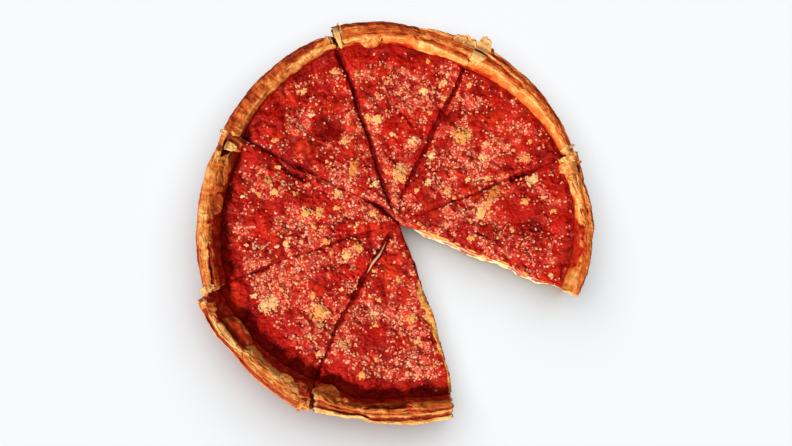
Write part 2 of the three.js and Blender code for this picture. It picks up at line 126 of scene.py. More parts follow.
SLICES = [
    pizza_slice((136.6, 137.4, 137, 133.5),
        stretch(-15, (149.4, 150.1), (141.5, 142.5), 38, .1, [(0, 0, .5), (.12, 0, .42), (.55, .1, .36),
            (.84, .3, .3), (.9, .6, .14), (1, .7, .12)], .3),
        stretch(0, (150.1, 150.6), (142.5, 140), 38, 1.15, [(0, 0, .5), (.1, .1, .35), (.35, .1, .28),
            (.45, .4, .4), (.7, .3, .3), (1, .8, .2)], .4),
        stretch(12, (150.2, 147.5), (139.8, 137), 37.5, .3, [(0, .2, .4), (.12, 0, .25), (.3, .1, .25),
            (.42, .8, .5), (.55, .4, .25), (.85, .6, .2), (1, .8, 0)], .2, 1),
        stretch(22, (146.4, 147.6), (136.5, 134.8), 35, .05, [(0, .5, .4), (.12, .2, .2), (.26, 1.5, .55),
            (.4, .5, .05), (.8, .8, .05), (.9, 1.5, .4), (1, 1, .05)])),
    pizza_slice((138.1, 135, 133, 131.2),
        stretch(46.5, (145.8, 148.6), (139.5, 138.7), 37.5, .12, [(0, 0, .25), (.07, .1, .3), (.13, .8, .7),
            (.3, .8, .6), (.38, .3, .36), (.75, .3, .3), (.9, .5, .24), (.95, .6, .04), (1, .9, .15)], .25),
        stretch(66, (148.4, 150.5), (137.2, 136.5), 38.5, .12, [(0, 0, .2), (.07, .2, .3), (.11, 1.2, .75),
            (.25, 1.2, .65), (.31, .3, .12), (.41, .3, .2), (.46, 1.9, .9), (.6, 1.9, .7), (.7, 1.3, .46),
            (.84, 1.2, .4), (.9, 1.2, .14), (1, 1.6, .14)], lean=.2)),
    pizza_slice((131.5, 133.5, 139.7, 142.8),
        stretch(84.5, (150.2, 150.2), (132.6, 138), 38, .2, [(0, 0, .1), (.15, .1, .15), (.2, 1, .6),
            (.38, 1, .5), (.46, .6, .35), (.53, .2, .15), (.6, .2, .2), (.66, 1.6, .7), (.74, 1.5, .5),
            (.86, 1, .35), (.92, .8, 0), (1, 1.2, 0)], lean=.15, crack=.8),
        stretch(110, (150.5, 159), (140.7, 143.8), 39, .4, [(0, .2, .6), (.12, .3, .72), (.17, .8, .78),
            (.22, .2, .44), (.55, .1, .42), (.7, .5, .52), (.85, .3, .32), (1, .9, .16)], .5)),
    pizza_slice((143.5, 140.5, 140, 138),
        stretch(113, (152.5, 153.8), (144.5, 144.5), 38.3, .35, [(0, .3, .1), (.2, 0, .25), (.5, .3, .2),
            (.6, .2, .15), (.85, .3, .05), (1, .8, 0)], .7),
        stretch(125, (153.8, 153.8), (144.5, 142.5), 38.5, .35, [(0, .1, .7), (.2, 0, .84), (.42, .3, .8),
            (.52, .6, .64), (.6, .2, .38), (.85, .3, .07), (1, .8, .02)], .7),
        stretch(152, (153.8, 151.6), (142.5, 140.5), 39, .4, [(0, .1, .85), (.08, 0, .68), (.2, 0, .54),
            (.5, .2, .5), (.8, .3, .38), (1, .9, .14)], 1.3)),
    pizza_slice((134.2, 135, 138, 141),
        stretch(157, (151.6, 151.2), (138, 138.5), 35, .8, [(0, 0, .25), (.28, .3, .3), (.4, 4, 1),
            (.75, 4.6, 1), (.88, 2.2, .2), (1, 2.2, .05)]),
        stretch(170, (151.2, 153.2), (139.5, 137.5), 38.5, .5, [(0, .1, .4), (.1, 0, .26), (.45, .2, .22),
            (.6, 1, .3), (.85, 3, .36), (1, 4.6, .4)], .9),
        stretch(179, (153.2, 154.5), (139.5, 141), 38.5, .8, [(0, .4, .6), (.09, .1, .3), (.3, 0, .22),
            (.55, .2, .24), (.7, 1.4, .4), (1, 4, .5)], .9),
        stretch(188, (154.5, 155.9), (142, 144.5), 38.5, 1.1, [(0, .4, .8), (.09, .1, .3), (.3, 0, .2),
            (.7, .2, .22), (1, .8, .35)], .9),
        stretch(201, (155.9, 158), (143, 144), 38, 1, [(0, .3, .75), (.1, .1, .35), (.58, .2, .2),
            (.66, 2, .9), (.74, 1.8, .85), (.82, 1, .45), (1, 1.5, .5)], .6, lean=.2)),
    pizza_slice((148, 145, 142, 139),
        stretch(206, (165, 165.5), (155, 155), 38, 1.3, [(0, .2, .3), (.08, 0, .55), (.38, .6, .75),
            (.55, .2, .4), (.8, .7, .75), (1, .6, .5)], .3),
        stretch(220, (165.4, 161.3), (155.5, 151), 38.5, 1, [(0, .5, -.1), (.05, .2, .2), (.1, .6, .75),
            (.28, .7, .72), (.34, .1, .05), (.5, .1, -.15), (.88, .2, -.12), (.96, 1.8, .9), (1, 3, 1)],
            crack=1),
        stretch(240, (161.3, 162.7), (149.8, 146.5), 39, .7, [(0, .3, .2), (.06, .3, .6), (.18, .4, .66),
            (.25, .1, .3), (.6, .2, .24), (.85, .2, .16), (1, .7, -.06)], .2),
        stretch(245, (162.3, 160.3), (147, 146.5), 38, 1.2, [(0, .2, .5), (.2, .1, .25), (.45, .8, .55),
            (.7, .4, .25), (1, 1, .3)], .3)),
    pizza_slice((137, 140, 135.5, 139),
        stretch(259.5, (159, 153.2), (143.2, 143.2), 38, .85, [(0, 0, -.02), (.2, .1, .04), (.27, 1.9, .85),
            (.38, 1.8, .75), (.45, .5, .2), (.55, 1.5, .65), (.62, .5, .25), (.9, 1.4, .22), (1, 3, .15)]),
        stretch(273, (155.1, 155.1), (142.5, 137.5), 38.5, 1.05, [(0, 0, .02), (.13, .1, .1), (.19, 1.7, .8),
            (.27, 1.6, .75), (.35, .4, .12), (.44, .5, .26), (.5, 1.3, .55), (.58, .4, .2), (.73, .5, .25),
            (.8, 2.2, .85), (.88, 2.4, .85), (1, 2.8, .15)]),
        stretch(287, (155.1, 155.1), (137.5, 143), 38.5, 1, [(0, 0, .06), (.17, .2, .14), (.24, 1.6, .8),
            (.34, 1.4, .7), (.43, .4, .12), (.53, .6, .26), (.62, 1.5, .7), (.7, .6, .25), (.9, 1.6, .22),
            (1, 3, .1)])),
]
for number, slice_ in enumerate(SLICES, 1):
    slice_["number"] = number
    slice_["cuts"] = CUTS[number - 1:number + 1]
    slice_["span"] = radians(slice_["cuts"][1]["rim"] - slice_["cuts"][0]["rim"])


# --- Shapes shared by every layer. The last number of each relief, rough, swirl or lumps is its seed ---


def lerp(a, b, t):
    return a + (b - a) * t


def smoothstep(x, low, high):
    t = clip((x - low) / (high - low), 0, 1)
    return t * t * (3 - 2 * t)


def bell(x, width):
    return np.exp(-((x / width) ** 2))


def lattice(i, j, seed):
    """A repeatable pseudo-random number from 0 to 1 for a lattice point."""
    wave = sin(i * 127.1 + j * 311.7 + seed * 74.7) * 43758.5453
    return wave - np.floor(wave)


def over_lattice(x, y, size, value):
    """Blends the values at the corners of a point's lattice cell, each given its corner and the way to it."""
    x, y = x / size, y / size
    i, j = np.floor(x), np.floor(y)
    u, v = smoothstep(x - i, 0, 1), smoothstep(y - j, 0, 1)
    near, far = (lerp(value(i, k, x - i, y - j - d), value(i + 1, k, x - i - 1, y - j - d), u)
                 for k, d in ((j, 0), (j + 1, 1)))
    return lerp(near, far, v)


def relief(x, y, size, seed):
    """Smooth relief from -1 to 1 whose bumps are about one size across."""
    return 2 * over_lattice(x, y, size, lambda i, j, dx, dy: lattice(i, j, seed)) - 1


def rough(x, y, size, seed):
    """Relief with finer and finer bumps added."""
    return sum(relief(x, y, size / 2**k, seed + 31 * k) * 0.5**k for k in range(3))


def swirl(x, y, size, seed):
    """Gradient noise from about -1 to 1, rounder than relief."""
    def slope(i, j, dx, dy):
        turn = 2 * pi * lattice(i, j, seed)
        return cos(turn) * dx + sin(turn) * dy

    return 1.5 * over_lattice(x, y, size, slope)


def lumps(x, y, size, seed, octaves=3):
    """Rounded lumps from 0 to about 1 with sharp creases between them."""
    total = sum(np.abs(swirl(x, y, size / 2**k, seed + 17 * k)) * 0.5**k for k in range(octaves))
    return total / sum(0.5**k for k in range(octaves)) * 1.6


def cut_angle(cut, radius):
    """The angle of a cut's middle line at a radius, in radians."""
    reach = clip(radius / NOMINAL_RADIUS, 0, 1.1)
    miss = cut["miss"] * (1 / maximum(radius, CUTS_MEET) - 1 / NOMINAL_RADIUS)
    wave = sin(2 * pi * radius / CUT_WAVE_LENGTH + cut["rim"]) * smoothstep(radius, CUTS_MEET, 3 * CUTS_MEET)
    turned = cut["tip"] * bell(radius, TIP_TURN)
    line = radians(lerp(cut["inner"], cut["rim"], reach**3) + turned)
    return line + miss + CUT_WAVE * wave / maximum(radius, 3)


def half_cut(radius):
    return lerp(CUT_AT_TIP, CUT_AT_RIM, clip(radius / NOMINAL_RADIUS, 0, 1)) / 2 * smoothstep(radius, 0, 8)


def slice_angle(slice_, u, radius, inset):
    """The angle of a point of a slice. inset gives how far a layer sits back from a cut at a radius."""
    start, end = (cut_angle(cut, radius) + way * (half_cut(radius) + inset(cut, radius)) / radius
                  for cut, way in zip(slice_["cuts"], (1, -1)))
    return lerp(start, end, u)


def slice_ends(slice_):
    """The first and last turn of a slice's block, each with its cut and the way out of the slice."""
    return zip((0, -1), slice_["cuts"], (-1, 1))


def crust_inset(cut, radius, height):
    """Rims part at the top of a cut and stay shut below."""
    return cut["parting"] * smoothstep(radius, 120, 145) * smoothstep(height, 27, 33)


def cheese_inset(cut, radius):
    """Cheese sags out of a cut, less and less near the wall, which holds it."""
    return -cut["sag"] * smoothstep(radius, 5, 25) * (1 - 0.9 * smoothstep(radius, 118, 134))


def gape(cut, radius):
    """How far the sauce has parted along a cut."""
    if cut["open"]:
        return 0.3 + 0 * radius
    uneven = 1 + 0.4 * rough(radius, 9 * cut["rim"], 9, 97)
    return maximum(interp(radius, *np.transpose(cut["gape"])) * uneven, 0)


def sauce_inset(cut, radius, groove):
    """A closed cut is a groove that gapes at the top and is closed below it."""
    if cut["open"]:
        return -cut["overhang"] * smoothstep(radius, 0, 30)
    return 0.9 * maximum(gape(cut, radius) - 1.6, 0) * groove - half_cut(radius)


def foot_radius(slice_, u):
    return interp(u * (len(slice_["foot"]) - 1), np.arange(len(slice_["foot"])), slice_["foot"])


def filling_radius(slice_, u, z):
    rise = (z - BASE_THICKNESS) / (SAUCE_TOP - BASE_THICKNESS)
    return foot_radius(slice_, u) - WALL_SLOPE * (1 - rise) - WALL_GAP


def polar_points(angle, radius, z):
    """Points about the pizza's axis, in millimetres, in the frame's own place."""
    x, y = radius * cos(angle) + AXIS[0], radius * sin(angle) + AXIS[1]
    return np.stack(np.broadcast_arrays(x, y, z), -1)


def beyond(x, y, radius, angle):
    """A point's offset from a place given by its radius and its angle in degrees."""
    return x - radius * cos(radians(angle)), y - radius * sin(radians(angle))


# --- Meshes. A part is points, faces and masks, which are values for each point ---


def block_part(points, masks):
    """The closed surface of a block of points indexed by turn, reach and rise."""
    shell = np.zeros(points.shape[:3], bool)
    shell[[0, -1]] = shell[:, [0, -1]] = shell[:, :, [0, -1]] = True
    ids = np.full(shell.shape, -1)
    ids[shell] = np.arange(shell.sum())
    quads = []
    for sheet, way in ((ids[0], 1), (ids[-1], -1), (ids[:, 0], -1), (ids[:, -1], 1), (ids[:, :, 0], 1),
                       (ids[:, :, -1], -1)):
        corners = [sheet[:-1, :-1], sheet[1:, :-1], sheet[1:, 1:], sheet[:-1, 1:]]
        quads.append(np.stack(corners[::way], -1).reshape(-1, 4))
    masks = {name: np.broadcast_to(values, shell.shape)[shell] for name, values in masks.items()}
    return points[shell], np.concatenate(quads), masks


def normals(points, quads):
    """Vertex normals of a mesh of quads."""
    corners = points[quads]
    facing = np.cross(corners[:, 2] - corners[:, 0], corners[:, 3] - corners[:, 1])
    total = np.stack([sum(np.bincount(k, side, len(points)) for k in quads.T) for side in facing.T], 1)
    return total / maximum(np.linalg.norm(total, axis=1, keepdims=True), 1e-12)


def join(*parts):
    """One part from several."""
    points, faces, masks = zip(*parts)
    starts = np.cumsum([0] + [len(some) for some in points[:-1]])
    faces = np.concatenate([some + start for some, start in zip(faces, starts)])
    return np.concatenate(points), faces, {k: np.concatenate([some[k] for some in masks]) for k in masks[0]}


def add_piece(name, material, part, nodes=(), smooth=True):
    """Makes a piece that rides on the frame from a part."""
    points, faces, masks = part
    mesh = bpy.data.meshes.new(name)
    mesh.vertices.add(len(points))
    mesh.vertices.foreach_set("co", (points * MM).astype(np.float32).ravel())
    mesh.loops.add(faces.size)
    mesh.loops.foreach_set("vertex_index", faces.astype(np.int32).ravel())
    mesh.polygons.add(len(faces))
    mesh.polygons.foreach_set("loop_start", np.arange(0, faces.size, faces.shape[1], dtype=np.int32))
    mesh.update(calc_edges=True)
    mesh.polygons.foreach_set("use_smooth", np.full(len(faces), smooth))
    for mask, values in masks.items():
        layer = mesh.attributes.new(mask, "FLOAT", "POINT")
        layer.data.foreach_set("value", clip(values, 0, 1).astype(np.float32))
    mesh.materials.append(material)
    piece = bpy.data.objects.new(name, mesh)
    bpy.context.scene.collection.objects.link(piece)
    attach(piece, "root")
    if nodes:
        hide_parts(*nodes)


# --- Materials. Colours are those of the screen, 0 to 255 ---


def colour(*screen):
    """A colour of the screen as Blender's linear colour."""
    screen = np.array(screen) / 255
    linear = np.where(screen <= 0.04045, screen / 12.92, ((screen + 0.055) / 1.055) ** 2.4)
    return (*linear.tolist(), 1)


class Shader:
    """A small builder for one material's nodes. A socket's name is written with _ for a space."""

    def __init__(self, name, **sockets):
        self.material = bpy.data.materials.new(name)
        self.material.use_nodes = True
        self.tree = self.material.node_tree
        self.surface = self.tree.nodes["Principled BSDF"]
        self.fill(self.surface, sockets)
        self.place = self.node("TexCoord").outputs["Object"]

    def link(self, value, socket):
        if isinstance(value, bpy.types.NodeSocket):
            self.tree.links.new(value, socket)
        else:
            socket.default_value = colour(*value) if isinstance(value, tuple) else value

    def fill(self, node, sockets):
        for name, value in sockets.items():
            self.link(value, node.inputs[name.replace("_", " ")])

    def node(self, kind, **sockets):
        node = self.tree.nodes.new("ShaderNode" + kind)
        self.fill(node, sockets)
        return node

    def mask(self, name):
        node = self.node("Attribute")
        node.attribute_name = name
        return node.outputs["Fac"]

    def noise(self, size, detail=4, roughness=0.55):
        """Noise from 0 to 1 whose blotches are about size millimetres across."""
        node = self.node("TexNoise", Vector=self.place, Scale=1 / (size * MM), Detail=detail,
                         Roughness=roughness)
        return node.outputs["Fac"]

    def between(self, value, low, high, to_low=0.0, to_high=1.0):
        """Maps a value's range from low to high onto another, held at its ends."""
        node = self.node("MapRange", Value=value, From_Min=low, From_Max=high, To_Min=to_low, To_Max=to_high)
        node.interpolation_type = "SMOOTHSTEP"
        return node.outputs["Result"]

    def math(self, operation, a, b):
        node = self.node("Math")
        node.operation, node.use_clamp = operation, True
        self.link(a, node.inputs[0])
        self.link(b, node.inputs[1])
        return node.outputs["Value"]

    def plus(self, a, b):
        return self.math("ADD", a, b)

    def times(self, a, b):
        return self.math("MULTIPLY", a, b)

    def mix(self, share, low, high):
        node = self.node("Mix")
        node.data_type = "RGBA"
        self.link(share, node.inputs["Factor"])
        self.link(low, node.inputs[6])
        self.link(high, node.inputs[7])
        return node.outputs[2]

    def ramp(self, value, *stops):
        """A colour for a value: each stop is a place from 0 to 1 and a colour."""
        node = self.node("ValToRGB", Fac=value)
        marks = node.color_ramp.elements
        while len(marks) < len(stops):
            marks.new(0.5)
        for mark, (place, *shade) in zip(marks, stops):
            mark.position, mark.color = place, colour(*shade)
        return node.outputs["Color"]

    def bump(self, height, strength, distance):
        node = self.node("Bump", Height=height, Strength=strength, Distance=distance * MM)
        self.tree.links.new(node.outputs["Normal"], self.surface.inputs["Normal"])

    def finish(self, **sockets):
        self.fill(self.surface, sockets)
        return self.material


def crust_material():
    """Browned pastry: masks give how toasted, stained or freshly broken it is, and where shade is painted
    darker.
    """
    s = Shader("baked_crust", Specular_IOR_Level=0.15)
    fine = s.noise(1.2)
    toast = s.plus(s.mask("toast"), s.between(s.noise(8, 5), 0.3, 0.7, -0.09, 0.11))
    toast = s.plus(toast, s.between(fine, 0.35, 0.7, -0.07, 0.09))
    baked = s.ramp(toast, (0, 246, 196, 122), (0.14, 235, 158, 80), (0.32, 214, 112, 44), (0.52, 188, 80, 26),
                   (0.74, 150, 46, 10), (1, 106, 20, 3))
    crumb = s.mix(s.between(s.noise(2.2, 5), 0.35, 0.65), (250, 212, 150), (236, 178, 100))
    broken = s.mix(s.mask("pale"), baked, crumb)
    sauce = s.ramp(s.noise(4.5), (0.35, 136, 10, 4), (0.55, 190, 32, 14), (0.7, 220, 88, 54))
    stained = s.mix(s.mask("stain"), broken, sauce)
    # Painted shade: cracks, pits, dropped ledges, folds, leaf roots and parted cut ends are darkened.
    dark = s.mix(s.mask("crevice_shade"), stained, (104, 24, 4))
    s.bump(s.plus(fine, s.times(s.noise(0.45, 3), 0.4)), 0.6, 0.5)
    return s.finish(Base_Color=dark, Roughness=s.between(s.mask("stain"), 0.2, 0.9, 0.6, 0.36))


def cheese_material():
    """Melted cheese that shows at the cuts."""
    s = Shader("melted_cheese", Roughness=0.36, Subsurface_Weight=0.15, Subsurface_Scale=2 * MM)
    blotch = s.noise(7)
    base = s.mix(s.between(blotch, 0.35, 0.65), (252, 238, 208), (252, 216, 142))
    oily = s.mix(s.between(s.noise(3), 0.5, 0.75, 0.0, 0.7), base, (240, 164, 78))
    bled = s.mix(s.between(s.mask("sauce"), 0.0, 0.5), oily, (240, 146, 78))
    red = s.mix(s.between(blotch, 0.4, 0.6), (132, 14, 6), (184, 42, 16))
    tinted = s.mix(s.between(s.mask("sauce"), 0.3, 0.85), bled, red)
    s.bump(s.noise(1.3), 0.35, 0.6)
    return s.finish(Base_Color=s.mix(s.mask("blush"), tinted, (255, 190, 150)))


def sauce_material():
    """Crushed tomato: painted highlight on lumps, painted shade in hollows, and a faint dusting of melted
    parmesan whose pink specks also stand in for wet glints.
    """
    s = Shader("tomato_sauce", Specular_IOR_Level=0.07)
    grain = s.noise(2.2, 5, 0.6)
    deep = s.mix(s.between(s.noise(20, 5), 0.38, 0.64), (152, 5, 4), (196, 18, 10))
    mottled = s.mix(s.between(grain, 0.45, 0.66, 0.0, 0.7), deep, (220, 42, 22))
    # Painted highlight on lump tops and marked ridges, with brighter patches of the tomato's own.
    lit = s.mix(s.mask("tint_and_highlight"), mottled, (226, 54, 20))
    # Painted shade in hollows, cut grooves, sunken marks and at the wall's foot.
    hollow_shade = s.mix(s.mask("hollow_shade"), lit, (118, 6, 4))
    haze = s.times(s.between(s.noise(4.5, 5, 0.65), 0.42, 0.62, 0.0, 0.45), s.mask("dust"))
    hazy = s.mix(haze, hollow_shade, (236, 104, 82))
    # Pink specks of melted parmesan, which also stand in for wet glints: partly painted highlight.
    speckle_and_glint = s.plus(s.noise(1.6, 3, 0.6), s.between(s.mask("dust"), 0.0, 0.9, -0.09, 0.06))
    clear = s.between(s.mask("hollow_shade"), 0.35, 0.8, 1.0, 0.15)
    dust_and_glints = s.mix(s.times(s.between(speckle_and_glint, 0.53, 0.64, 0.0, 0.75), clear), hazy, (240, 120, 92))
    browned = s.mix(s.between(s.noise(2.5), 0.35, 0.65), (255, 204, 104), (236, 130, 46))
    fringe = s.between(s.times(s.mask("fringe"), s.noise(1.8, 3)), 0.18, 0.3)
    s.bump(s.plus(s.noise(1.5, 4, 0.7), s.times(s.noise(0.7, 3), 0.6)), 0.8, 0.8)
    gloss = s.between(grain, 0.3, 0.7, 0.22, 0.4)
    return s.finish(Base_Color=s.mix(fringe, dust_and_glints, browned), Roughness=gloss)


def parmesan_material(name, pale, warm, dark):
    """Grated cheese: each grain has a shade of its own."""
    s = Shader(name, Roughness=0.55, Specular_IOR_Level=0.15)
    s.bump(s.noise(0.7, 3), 0.4, 0.3)
    return s.finish(Base_Color=s.mix(s.mask("toast"), s.mix(s.mask("shade"), pale, warm), dark))


def herb_material():
    s = Shader("dried_herb", Roughness=0.7)
    return s.finish(Base_Color=s.mix(s.mask("shade"), (58, 30, 12), (86, 62, 26)))


# --- Crust ---

CRUST_STEP = 0.55  # spacing of the crust's columns along the rim
BASE_ROWS, CORNER_ROWS, WALL_ROWS, BAND_ROWS = 26, 7, 44, 48
BREAK_SLANT = 1.6  # how far a crack leans across the rim
END_DEPTH = 2.5  # how far the ragged end of a rim reaches in from a cut
FOLD_DEPTH = 0.4  # how deep the layers of the dough show at an open cut


def rim_values(slice_, angle, ragged, across):
    """The sizes of the rim at each angle, with the drop and tone of its ledges at each place across. Its
    outline changes smoothly from stretch to stretch, and its ledges end each at a place of its own."""
    start, end = (cut["rim"] for cut in slice_["cuts"])
    values = {"crack": 0 * (ragged + across)}
    for order, part in enumerate(slice_["stretches"]):
        stop = part["to"]
        along = clip((angle - start) / (min(stop, end) - start), 0, 1)
        place = across + part["lean"] * (along - 0.5)
        found = {key: part[key] + 0 * angle for key in ("top", "stain", "wrinkle", "pits")}
        found |= {key: lerp(*part[key], along) for key in ("outer", "inner")}
        found |= {"drop": interp(place, *part["steps"][:2]), "tone": interp(place, *part["steps"][::2])}
        stagger = 2.6 * relief(across * 9, start, 1, 40)
        for key, value in found.items():
            if order:
                turn, reach = (angle + stagger, 0.45) if key in ("drop", "tone") else (angle, 1.2)
                value = lerp(values[key], value, smoothstep(turn, start - reach, start + reach))
            values[key] = value
        if stop < end:
            values["crack"] = values["crack"] + part["crack"] * bell((angle + ragged - stop) * 2.65, 0.4)
        start = stop
    return values


def rim_top(slice_, u, angle, arc):
    """The rim's top, across the band from its outer lip to its inner one: its radius, height, masks and
    values. A crack leans and wanders across it."""
    s = linspace(0, 1, BAND_ROWS)[None, :]
    ragged = BREAK_SLANT * (s - 0.5) + 0.6 * relief(s * 30, arc / 40, 5, 50)
    ripple = 0.035 * rough(arc, s * 9, 26, 51) + 0.03 * rough(arc, s * 26, 5, 49)
    across = s + ripple * sin(pi * s) ** 0.5
    rim = rim_values(slice_, angle, ragged, across)
    crack, stain = rim["crack"], rim["stain"]
    outer = rim["outer"] + WALL_RELIEF * relief(arc, 0, 14, 1) * 0.7 + 0.25 * rough(arc, 7, 4, 48)
    inner = rim["inner"] + WALL_RELIEF * relief(arc, 40, 11, 2) + 0.7 * rough(arc, 9, 6, 47)
    rim["radius"] = lerp(outer, maximum(inner, foot_radius(slice_, u) + 1), s)
    layer = across * 14
    streak = relief(arc * 0.9, layer * 6, 6.5, 53)
    thread = relief(arc * 1.1, layer * 14, 5, 54)
    split = smoothstep(relief(arc * 0.6, layer * 4.5, 5, 55), 0.5, 0.8)
    wrinkle = relief(arc + 1.2 * relief(layer, arc, 5, 56), layer * 0.3, 1.7, 57) * rim["wrinkle"]
    pit = smoothstep(relief(arc, layer, 2.1, 58), 0.35, 0.7) * rim["pits"] * sin(pi * s)
    drop = rim["drop"] * clip(0.7 + 0.4 * relief(arc, s * 14, 16, 52), 0.25, 1.1)
    mottle = rough(arc, layer * 1.5, 5, 59)
    rounding = RIM_ROUNDING * np.abs(2 * s - 0.95) ** 4
    rim["height"] = (rim["top"] + RIM_RELIEF * relief(arc, 80, 12, 3) - rounding - drop
                     + 0.16 * streak + 0.08 * thread + 0.24 * wrinkle + 0.42 * mottle - 0.5 * split
                     - 1.1 * pit - 0.9 * crack)
    # The tone is the pastry's own browning, painted paler where streaks, threads and mottles rise: partly
    # painted light.
    tone = rim["tone"] + 0.11 * rough(arc, layer, 9, 60) - 0.09 * streak - 0.1 * thread - 0.1 * mottle
    from_cut = minimum(u, 1 - u) * slice_["span"] * NOMINAL_RADIUS
    torn = bell(from_cut - 0.6 * relief(s * 30, 3, 5, 65), 1.6)
    soaked = smoothstep(stain - 1.0 + 0.25 * rough(arc, layer, 6, 63), 0, 0.2)
    # Pits and cracks are painted darker and raised wrinkles paler, and splits and dropped ledges darker too:
    # painted shade and light.
    rim["masks"] = {"toast": tone - 0.1 * wrinkle + 0.4 * pit + 0.1 * crack,
                    "stain": soaked * smoothstep(s, 0.5, 0.75),
                    "crevice_shade": 0.4 * split + 0.5 * crack + 0.45 * pit + 0.7 * smoothstep(drop, 1.2, 3),
                    "pale": 0.7 * torn * smoothstep(rough(arc, layer, 5, 66), -0.5, 0.3)}
    return rim


def crust_block(slice_):
    """The crust of a slice as a block of points, and its masks. Reach runs along the base and up the wall,
    and rise runs through the dough, from the outside to the inside."""
    first, second = (cut["rim"] for cut in slice_["cuts"])
    length = slice_["span"] * NOMINAL_RADIUS
    u = linspace(0, 1, int(length / CRUST_STEP))[:, None]
    angle = lerp(first, second, u)
    arc = radians(angle) * NOMINAL_RADIUS
    rim = rim_top(slice_, u, angle, arc)
    band_r, band_z = rim["radius"], rim["height"]

    # The outer path: underside, rounded foot, flared wall.
    edge = lerp(slice_["stretches"][0]["outer"][0], slice_["stretches"][-1]["outer"][1], u) - WALL_FLARE
    base = linspace(0, 1, BASE_ROWS)[None, :] + 0 * u
    turn = linspace(0, pi / 2, CORNER_ROWS + 1)[None, 1:] + 0 * u
    climb = linspace(0, 1, WALL_ROWS + 1)[None, 1:]
    wall_z = lerp(FOOT_ROUNDING, band_z[:, :1], climb)
    bulge = WALL_RELIEF * relief(arc, wall_z * 1.2, 12, 6) + 0.35 * lumps(arc, wall_z * 0.7, 7, 46)
    bulge = bulge * smoothstep(1 - climb, 0, 0.2) * climb**0.3
    wall_r = lerp(edge, band_r[:, :1], interp(climb, [0, 0.35, 0.7, 1], [0, 0.3, 0.85, 1])) + bulge
    outer_r = np.hstack([lerp(TIP_RADIUS, edge - FOOT_ROUNDING, base), edge - FOOT_ROUNDING * (1 - sin(turn)),
                         wall_r])
    outer_z = np.hstack([0 * base, FOOT_ROUNDING * (1 - cos(turn)), wall_z])

    # The inner path: top of the base under the cheese, then the wall up past the sauce.
    foot = foot_radius(slice_, u)
    in_r, in_z = band_r[:, -1:], band_z[:, -1:]
    corner = foot - WALL_SLOPE - FOOT_ROUNDING
    inner_z = np.hstack([0 * base + BASE_THICKNESS, BASE_THICKNESS + FOOT_ROUNDING * (1 - cos(turn)),
                         lerp(BASE_THICKNESS + FOOT_ROUNDING, in_z, climb)])
    below = foot - WALL_SLOPE * (SAUCE_TOP - inner_z) / (SAUCE_TOP - BASE_THICKNESS)
    rise = clip((inner_z - SAUCE_TOP) / (in_z - SAUCE_TOP), 0, 1)
    above = lerp(foot, in_r, interp(rise, [0, 0.5, 1], [0, 0.4, 1]))
    slump = 0.9 * rough(arc, inner_z * 1.6, 9, 45) * sin(pi * rise)
    inside = np.where(rise > 0, above + slump, below)[:, -WALL_ROWS:]
    inner_r = np.hstack([lerp(TIP_RADIUS, corner, base), corner + FOOT_ROUNDING * sin(turn), inside])
    inner_r = minimum(inner_r, below + maximum(0, above - foot) + np.abs(slump))

    # The block: straight through the dough, pulled towards the shape of the rim's top near its end.
    v = linspace(0, 1, BAND_ROWS)[None, None, :]
    radius = lerp(outer_r[:, :, None], inner_r[:, :, None], v)
    height = lerp(outer_z[:, :, None], inner_z[:, :, None], v)
    near_top = np.hstack([np.zeros(BASE_ROWS + CORNER_ROWS), climb[0] ** 5])[None, :, None]
    radius = radius + near_top * (band_r - radius[:, -1])[:, None, :]
    height = height + near_top * (band_z - height[:, -1])[:, None, :]
    spread = slice_angle(slice_, u[:, :, None], radius, lambda cut, r: crust_inset(cut, r, height))
    for cut, apart in zip(slice_["cuts"], (u, 1 - u)):
        torn = 1.5 * rough(radius * 1.3 + cut["rim"], height, 4.5, 44) * smoothstep(height, 20, 31)
        spread = spread + torn * clip(1 - apart * length / END_DEPTH, 0, 1)[:, :, None] / radius

    # The layers of the dough that show where it is cut.
    wall = np.hstack([np.zeros(BASE_ROWS), linspace(0, 0.1, CORNER_ROWS), 0.1 + 0.9 * climb[0]])
    wall = wall[None, :, None]
    path = np.where(wall > 0, NOMINAL_RADIUS + height, radius)
    leaves = relief(v * 12 + 1.1 * relief(path, 0, 7, 67), path, 1, 64) + relief(v * 23, path * 0.2, 1, 68)
    folds = smoothstep(0.5 * leaves, 0.05, 0.6) * smoothstep(1 - np.abs(2 * v - 1), 0.02, 0.2)
    for end, cut, out in slice_ends(slice_):
        if cut["open"]:
            spread[end] -= out * (FOLD_DEPTH * folds / radius)[end]

    # Masks.
    outer_x, outer_y = outer_r * cos(arc / NOMINAL_RADIUS), outer_r * sin(arc / NOMINAL_RADIUS)
    browned = 0.16 * rough(outer_x + 1.5 * outer_z, outer_y - 1.5 * outer_z, 16, 43)[:, :, None]
    outside = lerp(0.5 + browned - 0.1 * sin(pi * wall), rim["tone"][:, None, :1], wall**8)
    inside = lerp(0.18, 0.07, smoothstep(rise, 0.2, 0.9)) + 0.1 * rough(arc, inner_z, 8, 42)
    inside = rim["tone"][:, -1:] + inside
    masks = {name: np.zeros(radius.shape) for name in rim["masks"]}
    masks["toast"] += np.where(v < 0.5, outside, inside[:, :, None])
    stained = smoothstep(rim["stain"] + 0.22 * rough(arc, 0, 11, 61) - rise, -0.1, 0.12)
    masks["stain"][:, :, -1] = stained * (0.95 + 0.15 * rough(arc, inner_z * 2, 5, 62))
